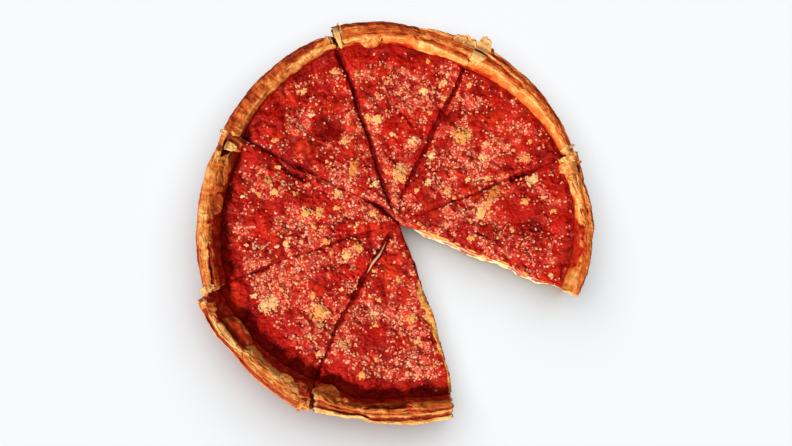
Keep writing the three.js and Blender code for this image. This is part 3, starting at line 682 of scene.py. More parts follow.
    # Painted shade: past a stain of 1.3, the inner wall above the sauce is darkened.
    masks["crevice_shade"][:, :, -1] = 0.75 * smoothstep(rim["stain"], 1.3, 1.6) * smoothstep(rise, 0, 0.1)
    for name, values in rim["masks"].items():
        masks[name][:, -1] = values
    crumb = (0.95 - 0.85 * smoothstep(np.abs(2 * v - 1), 0.66, 0.97)) * (1 - 0.55 * smoothstep(wall, 0.6, 1))
    crumb = crumb - 0.25 * folds
    for end, cut, _ in slice_ends(slice_):
        masks["pale"][end] = crumb[end] * (1 if cut["open"] else 0.25)
        masks["toast"][end] = lerp(masks["toast"][end], 0.25, 0.7 if cut["open"] else 0.3)
        # Painted shade at the ends: fold lines are darkened, and the end of a parted rim more so.
        least = 0.6 if cut["parting"] else 0.28 * folds[end]
        masks["crevice_shade"][end] = maximum(masks["crevice_shade"][end], least)
    masks["pale"][:, -1] = rim["masks"]["pale"]
    return polar_points(spread, radius, height), masks


def crust_part(slice_):
    """The crust's surface with its fine relief."""
    points, quads, masks = block_part(*crust_block(slice_))
    facing = normals(points, quads)
    x, y, z = points.T
    arc, out = np.arctan2(y, x) * NOMINAL_RADIUS, hypot(x, y)
    fine = 0.22 * rough(arc, z * 1.7 + out, 6, 70) + 0.1 * rough(arc, z * 2 + out * 3, 1.8, 71)
    clear = 1 - smoothstep(SAUCE_TOP + 1 - z, 0, 2) * (facing[:, 2] > -0.5) * (out < 146)
    return points + facing * (fine * clear * smoothstep(z, 0.05, 1.5))[:, None], quads, masks


FLAKE_THICKNESS = 1.9
FLAKE_TIP_THICKNESS = 0.4
FLAKE_ROWS = 25

# Torn leaves of dough, each with its slice, angle, the radii that it grows from and ends at, width there,
# height, how far it drops, tone, stain, width at its tip against its root, how crumpled and how torn it is,
# and how much browner its edge is.
FLAKES = [
    (1, 17.9, 144, 127.5, 15, 35, 2.2, .15, 0, .6, .9, .25, .3),
    (1, 20.4, 147, 134, 8, 35.8, .6, .1, 0, .6, 1.2, .3, .3),
    (1, 14.4, 141, 133, 7, 35, 1, .2, 0, .6, .8, .3, .3),
    (1, 21.3, 144, 149, 4, 36, .5, 0, 0, .4, .8, .3, .3),
    (1, 18.4, 144, 149, 3.5, 36, .4, .35, 0, .8, .8, .2, .3),
    (2, 63.9, 146, 158, 14, 38, .2, 0, 0, .85, .9, .22, .1),
    (2, 61.3, 147, 152.5, 4, 38, .2, .6, 0, .8, .8, .3, .3),
    (2, 64.1, 144.5, 132, 12, 38, 2.2, 0, 0, .6, 1.1, .3, .3),
    (2, 23.8, 143, 149, 3.5, 37.2, .4, 0, 0, .4, .8, .3, .3),
    (2, 23.4, 143, 133.5, 7, 36.8, .8, 0, 0, .25, .8, .3, .3),
    (3, 68.1, 145, 154.5, 11, 38.4, .2, 0, 0, 1, 1, .25, .1),
    (3, 71, 146, 153.5, 10, 38.2, .2, .05, 0, 1, 1, .3, .1),
    (3, 98.5, 146, 135.5, 19, 36, 2, .15, 0, .9, .5, .05, .3),
    (3, 106.9, 150, 160, 4.5, 37.5, .4, 0, 0, .7, .8, .2, .3),
    (3, 107.9, 157, 139, 4.5, 38.4, 1, -.15, 0, .9, .5, .15, .1),
    (4, 111.3, 146, 153, 5, 37.5, 0, .1, 0, .8, .8, .3, .3),
    (5, 154.6, 145, 132, 12, 33, 1.5, .35, .3, .8, .8, .15, .3),
    (5, 155.7, 145.5, 134, 7, 35.4, 1.6, -.05, 0, .9, 1.2, .4, .15),
    (5, 152.6, 147, 154, 5, 36.8, .4, 0, 0, .7, .8, .3, .3),
    (5, 164, 142, 134.5, 26, 35, 1.8, .3, .25, .9, .8, .12, .2),
    (5, 174, 142, 135, 20, 35, 2.4, .4, .45, .85, .8, .12, .2),
    (5, 199.3, 152, 162, 6, 37.8, .4, -.15, 0, .9, .6, .2, .05),
    (5, 199.2, 156, 148, 5, 38, .6, 0, 0, .8, .8, .3, .1),
    (6, 203, 158, 166.2, 7, 37.6, .4, .15, 0, .9, .8, .3, .2),
    (6, 204.5, 160, 153, 12, 38, 1.4, .3, 0, .8, .8, .3, .3),
    (6, 214.8, 155.5, 142, 33, 34.2, 3, .56, .8, .95, .7, .1, -.2),
    (6, 234.7, 154, 143.5, 16, 38.2, 2.2, .2, 0, 1, .2, .03, .05),
    (6, 239.5, 149, 142, 12, 36.5, 2, .2, .9, .8, 1, .3, .3),
    (6, 242, 154, 165, 4.5, 37.6, -.2, .2, 0, .8, .8, .25, .1),
    (7, 247.6, 147, 135.5, 24, 34.6, 4, .3, .35, .9, .5, .12, .05),
    (7, 252.5, 147, 140.5, 16, 35, 1.5, .25, 0, .8, .8, .15, .3),
    (7, 284.9, 150, 145, 4, 37.4, .6, .1, 0, .6, .8, .3, .3),
]


def flake_part(place, start, stop, width, level, drop, tone, stain, tip, curl, torn, browner):
    """A leaf of broken dough: thin, rounded and crumpled, tapering from the radius that it grows from."""
    side = linspace(-0.5, 0.5, FLAKE_ROWS)[:, None, None]
    along = linspace(0, 1, FLAKE_ROWS)[None, :, None]
    up = np.array([-0.5, 0.5])[None, None, :]
    seed = 80 + np.floor(abs(place) * 7)
    length, from_middle = abs(stop - start), np.abs(2 * side)
    rounded = np.sqrt(1 - 0.9 * from_middle ** (2.2 + 9 * torn))
    reach = along * rounded * (1 - torn * (0.5 + 0.5 * rough(side * width, 0, 3.6, seed)) * along)
    across = side * lerp(1, tip, along**1.5)
    across = across + 0.3 * torn * relief(along * length, np.sign(side) * 9, 2.6, seed + 1) * from_middle**2
    radius = lerp(start, stop, reach)
    angle = radians(place) + np.sign(stop - start) * across * width / radius
    x, y = side * width, along * length
    crumple = 0.8 * swirl(x, y, 4.3, seed + 2) + 0.35 * swirl(x, y, 1.9, seed + 3) + 0.5 * from_middle**2
    edge = maximum(from_middle**4, along**4)
    thickness = lerp(FLAKE_THICKNESS, FLAKE_TIP_THICKNESS, maximum(along, from_middle**3))
    height = level - drop * along**2 + up * thickness + curl * crumple * (0.25 + along)
    # The leaf's own browning, painted paler where its crumples rise: partly painted light.
    toast = tone + browner * edge + 0.3 * swirl(x + 0.7 * y, y * 0.5, 2.1, seed + 4) - 0.12 * crumple
    soaked = smoothstep(0.7 + 0.7 * swirl(x, y, 5, seed + 5) - 0.9 * edge, 0, 0.6)
    # The root is painted darker where the leaf meets the rim: painted shade.
    masks = {"toast": toast, "stain": stain * soaked, "crevice_shade": 0.6 * (1 - smoothstep(along, 0.1, 0.4)),
             "pale": clip(0.4 - 4 * tone, 0, 0.4) * (1 - edge)}
    return block_part(polar_points(angle, radius, height), masks)


def build_crust(slice_, material):
    flakes = [flake_part(*sizes) for number, *sizes in FLAKES if number == slice_["number"]]
    name = f"slice_{slice_['number']}_crust"
    add_piece(name + "_pastry", material, join(crust_part(slice_), *flakes), [name])


# --- Cheese ---

# A string of melted cheese that bridges one cut, just under the top of the sauce.
STRAND_SLICE = 7
STRAND_RADII = (17, 46)
STRAND_WIDTH = 1.6
STRAND_THICKNESS = 2.2
STRAND_HEIGHT = 24.7
STRAND_BEND = 0.8


def strand_part(cut):
    across = linspace(-0.5, 0.5, 7)[:, None, None]
    t = linspace(0, 1, 50)[None, :, None]
    up = linspace(-0.5, 0.5, 5)[None, None, :]
    radius = lerp(*STRAND_RADII, t)
    taper = np.sqrt(sin(pi * clip(t, 0.02, 0.98))) * (1 + 0.35 * relief(radius, 0, 5, 86))
    beside = across * STRAND_WIDTH * taper * np.sqrt(1 - 3.2 * up**2) + 0.35 * relief(radius, 9, 8, 87)
    beside = beside + 0.3 + STRAND_BEND * sin(2 * pi * t) * sin(pi * t)
    height = STRAND_HEIGHT + up * STRAND_THICKNESS * np.sqrt(1 - 3.2 * across**2)
    height = height - 2.5 * np.abs(2 * t - 1) ** 4 + 0.25 * relief(radius, across * 3, 3, 88)
    points = polar_points(cut_angle(cut, radius) + beside / radius, radius, height)
    return block_part(points, {"sauce": 0.05, "blush": 0.7 + 0.3 * rough(radius, across * 4, 4, 85)})


def build_cheese(slice_, material):
    """The cheese sags out of the open cuts in soft uneven lobes. Sauce is smeared over the closed ones."""
    u = linspace(0, 1, 24)[:, None, None]
    v = linspace(0, 1, 14)[None, None, :]
    height = lerp(BASE_THICKNESS + LAYER_GAP, CHEESE_TOP, v) + 0 * u
    radius = lerp(TIP_RADIUS, filling_radius(slice_, u, height), linspace(0, 1, 260)[None, :, None])
    angle = slice_angle(slice_, u, radius, cheese_inset)
    smear = np.zeros(radius.shape)
    for end, cut, out in slice_ends(slice_):
        r, rise = radius[end], v[0]
        lobes = rough(r, rise * 9, 8, 90) + 0.6 * lumps(r, rise * 8, 5, 91, 2)
        belly = 1 - (2 * rise - 1.1) ** 2
        held = smoothstep(r, 8, 25) * (1 - 0.8 * smoothstep(r, 118, 134))
        reach = 0.12 + 0.45 * max(cut["sag"] - CHEESE_SAG, 0)
        angle[end] += out * reach * (lobes * belly - 0.7 * (1 - belly)) * held / r
        stained = smoothstep(rise + 0.3 * rough(r, rise * 16, 7, 92), 0.75, 1.1)
        smear[end] = stained if cut["open"] else 0.75 + 0.3 * rough(r, rise * 9, 9, 89)
    parts = [block_part(polar_points(angle, radius, height), {"sauce": smear, "blush": 0})]
    if slice_["number"] == STRAND_SLICE:
        parts.append(strand_part(slice_["cuts"][0]))
    name = f"slice_{slice_['number']}_cheese"
    add_piece(name + "_melt", material, join(*parts), [name])


# --- Sauce ---

SAUCE_STEP = 0.61  # spacing of the points of the sauce's top
SUNK = -2  # a mark that rises less than this is a sunken patch with a sharp edge

# Marks of the sauce that stand out: distance from the axis, angle, half length, half width, the way it lies,
# how far it rises, and how bright it is: above 0 partly painted highlight, below 0 painted shade.
SAUCE_MARKS = [
    (92, 126, 14, 11, 30, -2.3, -.5), (90, 153.6, 15, 4, 152, -2.4, -1),
    (101, 117, 24, 4, 14, 1.7, .7), (92, 140.5, 9, 7, 0, 1.9, 1),
    (84, 113, 8, 9, 80, 1, .9), (82, 202, 9, 6, 10, 1, .9),
    (101, 211, 11, 8, 30, 1, .9), (41, 262, 7, 14, 0, .8, .8),
    (109, 47, 12, 8, 20, .6, .7), (62, 22, 14, 6, 20, .6, .6),
    (70, 337, 16, 5, -20, .5, .5), (92, 257, 10, 12, 30, -.9, -.5),
    (104, 4, 24, 14, 85, -.4, -.5), (128, 268, 34, 7, -2, -1.7, -.2),
    (128, 188, 24, 6, 98, -1.4, -.2),
]

LEE_AZIMUTH = 240  # the filling lies low and bare at the foot of the wall about here
THIN_AT = (-69, 72)  # grated cheese lies thin around here, from the axis


def lee(x, y):
    """How near a place is to the bare part of the wall's foot, by its azimuth alone."""
    return smoothstep(cos(np.arctan2(y, x) - radians(LEE_AZIMUTH)), 0.45, 0.8)


def sauce_surface(slice_, u, radius):
    """The sauce's height, tint with painted highlight, painted shade, and how far it lies in a parted cut."""
    first, second = slice_["cuts"]
    start, end = cut_angle(first, radius), cut_angle(second, radius)
    angle = lerp(start, end, u)
    x, y = radius * cos(angle), radius * sin(angle)
    from_wall = foot_radius(slice_, u) - radius
    parted = np.where(u < 0.5, gape(first, radius), gape(second, radius))
    from_cut = minimum(u, 1 - u) * (end - start) * radius
    ragged = from_cut + 0.9 * swirl(x, y, 4.5, 29) * smoothstep(radius, 8, 25)
    edge = 1 - smoothstep(ragged, 0, SAUCE_EDGE)
    trench = 0.9 + 1.35 * minimum(parted, 1.6)
    lip = 1 - smoothstep(ragged, 0.3 * trench, trench)
    wall = 1 - smoothstep(from_wall, 0, SAUCE_EDGE)
    calm = (1 - maximum(0.6 * edge, wall)) * (1 - 0.7 * lee(x, y) * smoothstep(radius, 108, 124))

    warp_x, warp_y = x + 2.0 * swirl(x, y, 8, 30), y + 2.0 * swirl(x, y, 8, 31)
    chunk = lumps(warp_x, warp_y, 11, 32, 2)
    pebble = 0.5 + 0.5 * swirl(warp_x, warp_y, 3.4, 35)
    chunky = smoothstep(swirl(x, y, 26, 41), -0.45, 0.25)
    pebbly = 0.3 + 0.7 * smoothstep(swirl(x, y, 17, 42), -0.5, 0.3)
    detail = 2.0 * (chunk - 0.5) * (0.35 + 0.65 * chunky)
    detail = detail + pebbly * (0.9 * (pebble - 0.5) + 0.42 * swirl(x, y, 1.9, 43))

    rise = SAUCE_RELIEF * (relief(x, y, SAUCE_CHUNK, 7) + 0.6 * relief(x, y, SAUCE_CHUNK / 2, 8))
    tint_and_highlight = 0 * radius
    wander_x, wander_y = 3 * swirl(x, y, 7, 27), 3 * swirl(x, y, 7, 28)
    for far, about, half_length, half_width, lie, lift, shine in SAUCE_MARKS:
        dx, dy = beyond(x + wander_x, y + wander_y, far, about)
        turn = radians(lie)
        along = (dx * cos(turn) + dy * sin(turn)) / half_length
        beside = (dy * cos(turn) - dx * sin(turn)) / half_width
        blob = np.exp(-((along**2 + beside**2) ** (4 if lift < SUNK else 1.7)))
        rise, tint_and_highlight = rise + lift * blob, tint_and_highlight + shine * blob
        detail = detail * (1 - 0.7 * blob * (lift < SUNK))
    depth = 0.3 + 0.65 * minimum(parted, 1.5) + 2.2 * clip(parted - 1.6, 0, 1)
    height = SAUCE_TOP - 1 + rise * calm + detail * (1 - 0.75 * wall) - 0.3 * wall
    height = height - (0.3 + 0.5 * minimum(parted, 1)) * edge - depth * lip**1.3
    # Painted highlight on lump tops, with the marks and the broad brighter patches of the tomato's own.
    light_and_tint = tint_and_highlight + 0.6 * smoothstep(chunk, 0.7, 1.1) + 0.5 * smoothstep(swirl(x, y, 15, 45), 0.1, 0.7)
    # Painted shade: between lumps and pebbles, in cut grooves, in sunken marks and at the wall's foot, but
    # not in the lee.
    hollow_shade = 0.7 * (1 - smoothstep(chunk, 0.12, 0.45)) * chunky
    hollow_shade = hollow_shade + 0.3 * (1 - smoothstep(pebble, 0.15, 0.45)) * pebbly
    hollow_shade = hollow_shade + minimum(0.15 + 0.8 * parted, 0.95) * lip + 0.5 * clip(-tint_and_highlight, 0, 1)
    hollow_shade = hollow_shade + 0.4 * (1 - smoothstep(from_wall, 0, 15)) * (1 - lee(x, y))
    return height, light_and_tint, hollow_shade, minimum(parted, 1) * lip


def parmesan_density(x, y):
    """How thickly grated cheese lies, from 0 to 1: in drifts, and thin near the rim."""
    radius = hypot(x, y)
    drifts = 0.42 + 0.75 * swirl(x, y, 30, 26) + 0.75 * swirl(x, y, 11, 25)
    thin = 0.35 * bell(hypot(x - THIN_AT[0], y - THIN_AT[1]), 30)
    drifts = clip(drifts + 0.3 * lee(x, y) * smoothstep(radius, 80, 105) - thin, 0.07, 1.1)
    for far, about, length, _ in LARGE_CLUMPS:
        drifts = drifts + 0.6 * bell(hypot(*beyond(x, y, far, about)), 0.7 * length)
    for far, about, half_length, half_width, _, _, shine in SAUCE_MARKS:
        if shine < -0.4:
            cleared = bell(hypot(*beyond(x, y, far, about)), 0.55 * (half_length + half_width))
            drifts = drifts * (1 - min(-1.9 * shine, 1) * cleared)
    drifts = clip(drifts * (1 + 1.3 * swirl(x, y, 4.6, 24)), 0, 1.4)
    bare = lee(x, y) * smoothstep(radius, 119, 129)
    return drifts * (0.4 + 0.6 * smoothstep(136 - radius, 0, 20)) * (1 - bare)


def build_sauce(slice_, material):
    """The sauce: a lumpy top, rounded at the cuts, down to the cheese."""
    reach = max(slice_["foot"])
    u = linspace(0, 1, int(slice_["span"] * reach / SAUCE_STEP))[:, None, None]
    t = linspace(0, 1, int(reach / SAUCE_STEP))[None, :, None]
    v = linspace(0, 1, 12)[None, None, :]
    edge = filling_radius(slice_, u, SAUCE_TOP - 1)
    top, light_and_tint, hollow_shade, trough = sauce_surface(slice_, u, lerp(TIP_RADIUS, edge, t))
    height = lerp(CHEESE_TOP + LAYER_GAP, top, v)
    radius = lerp(TIP_RADIUS, filling_radius(slice_, u, minimum(height, SAUCE_TOP - 1)), t)
    groove = smoothstep(v, 0.65, 1)
    angle = slice_angle(slice_, u, radius, lambda cut, r: sauce_inset(cut, r, groove))
    for end, cut, out in slice_ends(slice_):
        r = radius[end]
        lobes = (0.9 if cut["open"] else 0.08 * groove[0]) * rough(r, v[0] * 11, 5, 93)
        angle[end] += out * lobes * smoothstep(r, 8, 25) / r
    points = polar_points(angle, radius, height)
    x, y = points[..., 0] - AXIS[0], points[..., 1] - AXIS[1]
    along = hypot(x, y)
    on_top = v > 0.9
    fringe = 0 * along
    for cut, apart in zip(slice_["cuts"], (u, 1 - u)):
        if cut["open"]:
            width = interp(along, *np.transpose(cut["fringe"])) * (1 + 0.6 * swirl(x, y, 6, 95))
            off = apart * slice_["span"] * along
            fringe += on_top * (1 - smoothstep(off, 0.5 * width, width + 0.4)) * smoothstep(width, 0.5, 1.6)
    # Only the top takes painted highlight; the sides are painted darker as shade.
    masks = {"tint_and_highlight": np.where(on_top, light_and_tint, 0.1), "fringe": fringe,
             "hollow_shade": np.where(on_top, hollow_shade, 0.35 + 0.35 * rough(radius, height * 2, 4, 94)),
             "dust": np.where(on_top, parmesan_density(x, y) * (1 - trough), 0)}
    name = f"slice_{slice_['number']}_sauce"
    add_piece(name + "_tomato", material, block_part(points, masks), [name])


# --- Grated cheese and herbs ---

# Clumps of toasted grated cheese, as read off the photo: across and down in its pixels, length in
# millimetres and the way they lie. The first are the most golden. Smaller ones follow a sunflower spiral.
PHOTO_AXIS = (398, 222.5)
PHOTO_PIXEL = 0.776  # millimetres
PHOTO_CLUMPS = [
    (462, 137, 14, 20), (481, 213, 12, 85), (494, 192, 9, 50), (488, 203, 9, 65), (354, 168, 11, 80),
    (269, 305, 16, 15), (319, 311.8, 14, 10), (399, 174, 14, 110), (338, 192, 9, 70), (306, 213, 8, 60),
    (319, 213, 8, 80), (358, 247, 9, 80), (346, 255, 8, 20), (326, 242, 6, 0), (287, 244, 6, 40),
    (424, 91, 6, 0), (413, 141, 7, 30), (444, 83, 6, 60), (432, 156, 5, 0), (428, 182, 6, 90),
    (447, 192, 6, 20), (483, 158, 7, 50), (488, 178, 6, 0), (526.5, 158, 7, 30), (525, 201.5, 7, 45),
    (532, 179, 10, 60), (554, 211, 5, 0), (377, 120, 8, 50), (368.5, 118, 6, 80), (373, 214, 6, 0),
    (335.1, 71.4, 6, 20), (275, 192, 6, 0), (269, 180, 6, 70), (343, 343, 7, 30), (362.4, 375.6, 6, 0),
    (412, 318, 7, 60), (399, 280, 6, 90), (374, 314, 6, 10), (374.5, 184, 7, 45), (344, 141, 6, 0),
]


def from_photo(across, down):
    """Distance from the axis and angle of a place in the photo, each to a tenth."""
    x, y = (across - PHOTO_AXIS[0]) * PHOTO_PIXEL, (PHOTO_AXIS[1] - down) * PHOTO_PIXEL
    return round(float(hypot(x, y)), 1), round(float(np.degrees(np.arctan2(y, x))) % 360, 1)


LARGE_CLUMPS = [(*from_photo(across, down), length, lie) for across, down, length, lie in PHOTO_CLUMPS]
GOLDEN_CLUMPS = 5
CLUMP_WIDTH = 0.8  # against its length
SMALL_CLUMPS = 70
SMALL_CLUMP_LENGTHS = (3, 5.5)
CLUMPS_REACH = 128
GOLDEN_ANGLE = 137.508
UNDERSIDE = 0.75  # width of a crumb's underside against its top

# How many places are tried for each kind of crumb, and how far from the axis.
GRAIN_TRIES, GRAINS_REACH = 12500, 135
SHRED_TRIES, SHREDS_REACH = 2600, 132
HERB_TRIES, HERBS_REACH = 30, 128


def all_clumps():
    """Every clump. The small ones keep clear of the large and of sunken patches."""
    clumps = list(LARGE_CLUMPS)
    taken = LARGE_CLUMPS + [mark[:3] + (0,) for mark in SAUCE_MARKS if mark[5] < SUNK]
    for i in range(SMALL_CLUMPS):
        radius = CLUMPS_REACH * np.sqrt((i + 0.8) / SMALL_CLUMPS) + 5 * (lattice(i, 1, 10) - 0.5)
        angle = (i * GOLDEN_ANGLE + 20 * (lattice(i, 2, 10) - 0.5)) % 360
        length = lerp(*SMALL_CLUMP_LENGTHS, lattice(i, 3, 10))
        x, y = beyond(0, 0, -radius, angle)
        if all(hypot(*beyond(x, y, far, about)) > (size + length) / 2 + 1 for far, about, size, _ in taken):
            clumps.append((radius, angle, length, 360 * lattice(i, 4, 10)))
    return clumps


def across_slices(radius, angle, margin):
    """For points given by radius and angle in degrees: the slice that each is in, or -1 within margin of an
    edge, and its share of the way across."""
    found, share = np.full(np.shape(radius), -1), np.zeros(np.shape(radius))
    for order, slice_ in enumerate(SLICES):
        first, second = (cut_angle(cut, radius) for cut in slice_["cuts"])
        lowest = slice_["cuts"][0]["inner"]
        turned = radians((angle - lowest + 360) % 360 + lowest)
        u = (turned - first) / (second - first)
        off = (half_cut(radius) + margin) / radius
        inside = (turned > first + off) & (turned < second - off) & (radius + margin < foot_radius(slice_, u))
        found, share = np.where(inside, order, found), np.where(inside, u, share)
    return found, share


def ground(radius, angle, margin):
    """Height of the sauce under points given by radius and angle in degrees, and which of them are on it,
    clear of the cuts that have parted."""
    order, share = across_slices(radius, angle, margin)
    height, trough = np.zeros(np.shape(radius)), np.zeros(np.shape(radius))
    for k, slice_ in enumerate(SLICES):
        here = order == k
        if here.any():
            height[here], _, _, trough[here] = sauce_surface(slice_, share[here], radius[here])
    return height, (order >= 0) & (trough < 0.4)


def ball(rings, spokes):
    """A small closed ball of triangles, of radius 1."""
    tilt = linspace(0, pi, rings + 2)[1:-1]
    turn = linspace(0, 2 * pi, spokes, endpoint=False)
    ways = (sin(tilt), cos(turn)), (sin(tilt), sin(turn)), (cos(tilt), np.ones(spokes))
    ring = np.stack([np.outer(*way) for way in ways], -1).reshape(-1, 3)
    points = np.vstack([ring, [0, 0, 1], [0, 0, -1]])
    k = np.arange(spokes)
    after = (k + 1) % spokes
    top, last = rings * spokes + 0 * k, (rings - 1) * spokes
    faces = [(k, after, top), (last + after, last + k, top + 1)]
    for row in range(0, last, spokes):
        a, b = row + k, row + after
        faces += [(a, a + spokes, b), (b, a + spokes, b + spokes)]
    return points, np.concatenate([np.stack(face, 1) for face in faces])


def scatter(rng, centres, sizes, shape, ruggedness, lean):
    """Copies of a small mesh, each stretched, turned and roughened by itself. sizes are half extents."""
    base, faces = shape
    count, corners = len(centres), len(base)
    local = base[None] * (1 + ruggedness * rng.uniform(-1, 1, (count, corners, 1)))
    local[..., :2] = local[..., :2] * np.where(base[:, 2:] < -0.1, UNDERSIDE, 1)
    x, y, z = np.moveaxis(local * sizes[:, None, :], -1, 0)
    turn = rng.uniform(0, 2 * pi, count)[:, None]
    pitch = lean * rng.normal(0, 1, count)[:, None]
    x, z = x * cos(pitch) - z * sin(pitch), x * sin(pitch) + z * cos(pitch)
    x, y = x * cos(turn) - y * sin(turn), x * sin(turn) + y * cos(turn)
    points = np.stack([x, y, z], -1) + centres[:, None, :]
    all_faces = faces[None] + corners * np.arange(count)[:, None, None]
    return points.reshape(-1, 3), all_faces.reshape(-1, 3)


def crumbs(rng, radius, angle, height, sizes, rings, spokes, ruggedness, lean, **masks):
    """A part of scattered crumbs. Each mask is a value for each crumb, or draws one."""
    shape = ball(rings, spokes)
    points, faces = scatter(rng, polar_points(radians(angle), radius, height), sizes, shape, ruggedness, lean)
    drawn = {name: values() if callable(values) else values for name, values in masks.items()}
    return points, faces, {name: np.repeat(values, len(shape[0])) for name, values in drawn.items()}


def strewn(rng, tries, reach, power, margin):
    """Random places on the sauce, as thick as the parmesan there raised to a power."""
    radius, angle = reach * np.sqrt(rng.uniform(0.001, 1, tries)), rng.uniform(0, 360, tries)
    density = parmesan_density(*beyond(0, 0, -radius, angle))
    height, on = ground(radius, angle, margin)
    kept = on & (rng.uniform(0, 1, tries) < density**power)
    return radius[kept], angle[kept], height[kept]


def flat_sizes(rng, size, longest, flatness):
    return np.stack([size * rng.uniform(1, longest, len(size)), size, size * flatness], 1)


def build_grains(rng, material):
    """Fine grated parmesan, thick in drifts and sparse near the rim."""
    radius, angle, height = strewn(rng, GRAIN_TRIES, GRAINS_REACH, 1.05, 0.7)
    count = len(radius)
    sizes = flat_sizes(rng, 0.52 + rng.beta(1.1, 3.0, count), 1.5, 0.18)
    part = crumbs(rng, radius, angle, height, sizes, 2, 5, 0.3, 0.1,
                  shade=lambda: rng.beta(1.2, 0.8, count), toast=lambda: rng.uniform(0, 1, count) ** 5)
    add_piece("parmesan_grains", material, part, smooth=False)


def build_shreds(rng, material):
    """Coarser crumbs and short shreds among the grains."""
    radius, angle, height = strewn(rng, SHRED_TRIES, SHREDS_REACH, 1.5, 1.6)
    count = len(radius)
    sizes = flat_sizes(rng, 0.5 + 0.9 * rng.beta(1, 2.4, count), 1.8, 0.28)
    part = crumbs(rng, radius, angle, height + 0.06, sizes, 3, 6, 0.25, 0.12,
                  shade=lambda: rng.uniform(0, 1, count), toast=lambda: rng.uniform(0, 1, count) ** 1.5)
    add_piece("parmesan_shreds", material, part, smooth=False)


def build_clumps(rng, material):
    """Toasted clumps: flat crumbs that overlap on the places of the solid's clumps."""
    rows = []
    for number, (far, about_axis, length, lie) in enumerate(all_clumps()):
        order, _ = across_slices(np.array([float(far)]), np.array([float(about_axis)]), 2.0)
        if order[0] < 0:
            continue
        count = int(1.2 * length**1.7)
        about = rng.uniform(0, 2 * pi, count)
        away = 1.15 * rng.uniform(0, 1, count) ** 0.65 * (1 + 0.4 * relief(about * 1.6, lie, 1, 11))
        bend = rng.uniform(-0.35, 0.35)
        along = away * cos(about) * length / 2
        beside = away * sin(about) * length / 2 * CLUMP_WIDTH * rng.uniform(0.6, 1.1)
        beside = beside + bend * along**2 / length
        turn = radians(lie)
        x, y = along * cos(turn) - beside * sin(turn), along * sin(turn) + beside * cos(turn)
        x, y = beyond(x, y, -far, about_axis)
        radius, angle = hypot(x, y), np.degrees(np.arctan2(y, x)) % 360
        height, on = ground(radius, angle, 0.8)
        heap = 0.02 * length * clip(1 - away**2, 0, 1) + 0.05
        size = rng.uniform(0.5, 1.2 + 0.04 * length, count) * (1.15 - 0.5 * away)
        sizes = flat_sizes(rng, size, 1.5, 0.24)
        golden = number < GOLDEN_CLUMPS
        toast = rng.uniform(-0.3, 0.5) + 0.3 * golden + rng.normal(0, 0.14, count)
        shade = rng.uniform(0, 1) + 0.5 * golden + rng.normal(0, 0.22, count)
        toast, shade = clip(toast, 0, 1), clip(shade, 0, 1)
        rows.append(np.column_stack([radius, angle, height + heap, sizes, toast, shade])[on])
    radius, angle, height, *sizes, toast, shade = np.concatenate(rows).T
    part = crumbs(rng, radius, angle, height, np.stack(sizes, 1), 4, 8, 0.15, 0.12, shade=shade, toast=toast)
    add_piece("toasted_clumps", material, part, smooth=False)


def build_herbs(rng, material):
    """Dark flecks of dried herb."""
    radius, angle = HERBS_REACH * np.sqrt(rng.uniform(0.01, 1, HERB_TRIES)), rng.uniform(0, 360, HERB_TRIES)
    height, on = ground(radius, angle, 2)
    sizes = np.outer(rng.uniform(0.4, 1.0, on.sum()), (1.5, 0.8, 0.25))
    part = crumbs(rng, radius[on], angle[on], height[on] + 0.2, sizes, 2, 5, 0.3, 0.2,
                  shade=lambda: rng.uniform(0, 1, on.sum()))
    add_piece("herb_flecks", material, part)


# --- Camera, light and floor ---

FRAME_WIDTH = 606.7  # millimetres across the view at the height of the rim
CAMERA_ABOVE = 1000
CAMERA_CENTRE = (0.8, 0.2, 38)
SENSOR = 36
FLOOR_HALF = 3  # metres
FLOOR_COLOUR = (170, 171, 172)
ROOM_COLOUR, ROOM_STRENGTH = (1, 0.84, 0.7, 1), 0.24

# Each lamp: its strength, the angle that it fills, its azimuth, elevation and tint, and whether the floor is
# the one thing that it leaves out or the one thing that it lights.
LAMPS = {
    "key": (4.4, 11, 232, 37.5, (1, 0.97, 0.93), "EXCLUDE"),
    "overhead": (7.85, 95, 85, 62, (0.94, 0.978, 1), "INCLUDE"),
}


def add_camera():
    camera = bpy.data.cameras.new("camera")
    camera.sensor_width = SENSOR
    camera.lens = SENSOR * CAMERA_ABOVE / FRAME_WIDTH
    holder = bpy.data.objects.new("camera", camera)
    holder.location = (Vector(CAMERA_CENTRE) + Vector((0, 0, CAMERA_ABOVE))) * MM
    bpy.context.scene.collection.objects.link(holder)
    bpy.context.scene.camera = holder


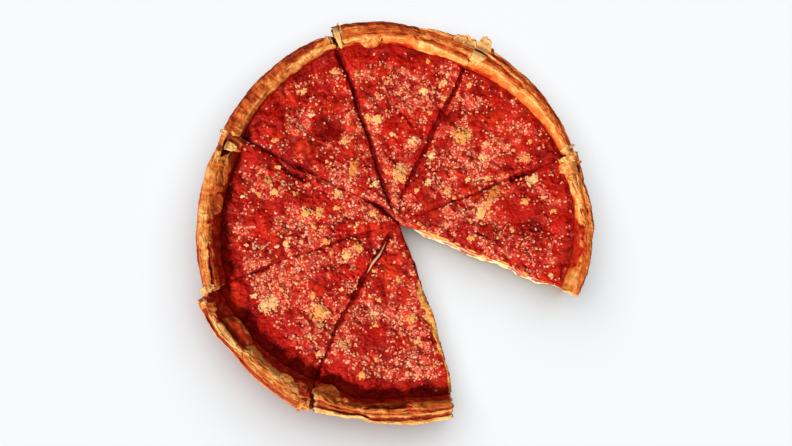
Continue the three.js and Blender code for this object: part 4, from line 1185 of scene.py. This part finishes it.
def add_floor():
    mesh = bpy.data.meshes.new("floor")
    corners = [(x * FLOOR_HALF, y * FLOOR_HALF, 0) for x, y in ((-1, -1), (1, -1), (1, 1), (-1, 1))]
    mesh.from_pydata(corners, [], [(0, 1, 2, 3)])
    floor = bpy.data.objects.new("floor", mesh)
    paper = Shader("pale_floor", Roughness=0.9, Specular_IOR_Level=0.1)
    mesh.materials.append(paper.finish(Base_Color=FLOOR_COLOUR))
    bpy.context.scene.collection.objects.link(floor)
    return floor


def add_light(floor):
    """Soft light. The key lights the food alone and the broad overhead light the floor alone, so that the
    floor keeps only a soft shadow around the food."""
    scene = bpy.context.scene
    scene.world = bpy.data.worlds.new("studio")
    scene.world.use_nodes = True
    room = scene.world.node_tree.nodes["Background"].inputs
    room["Color"].default_value, room["Strength"].default_value = ROOM_COLOUR, ROOM_STRENGTH
    for name, (energy, spread, azimuth, elevation, tint, state) in LAMPS.items():
        lamp = bpy.data.lights.new(name, "SUN")
        lamp.energy, lamp.angle, lamp.color = energy, radians(spread), tint
        holder = bpy.data.objects.new(name, lamp)
        turn, tilt = radians(azimuth), radians(elevation)
        holder.location = way = Vector((cos(turn) * cos(tilt), sin(turn) * cos(tilt), sin(tilt)))
        holder.rotation_euler = way.to_track_quat("Z", "Y").to_euler()
        scene.collection.objects.link(holder)
        lit = bpy.data.collections.new(name + "_lit")
        lit.objects.link(floor)
        holder.light_linking.receiver_collection = lit
        lit.collection_objects[0].light_linking.link_state = state
    scene.view_settings.view_transform = "Standard"


# --- The pizza ---

crust_look, cheese_look, sauce_look = crust_material(), cheese_material(), sauce_material()
for slice_ in SLICES:
    build_crust(slice_, crust_look)
    build_cheese(slice_, cheese_look)
    build_sauce(slice_, sauce_look)

rng = np.random.default_rng(7)
grain_look = parmesan_material("parmesan", (252, 200, 164), (234, 118, 90), (246, 168, 92))
clump_look = parmesan_material("toasted_parmesan", (255, 218, 154), (248, 170, 82), (220, 108, 38))
build_grains(rng, grain_look)
build_shreds(rng, grain_look)
build_clumps(rng, clump_look)
build_herbs(rng, herb_material())

add_light(add_floor())
add_camera()
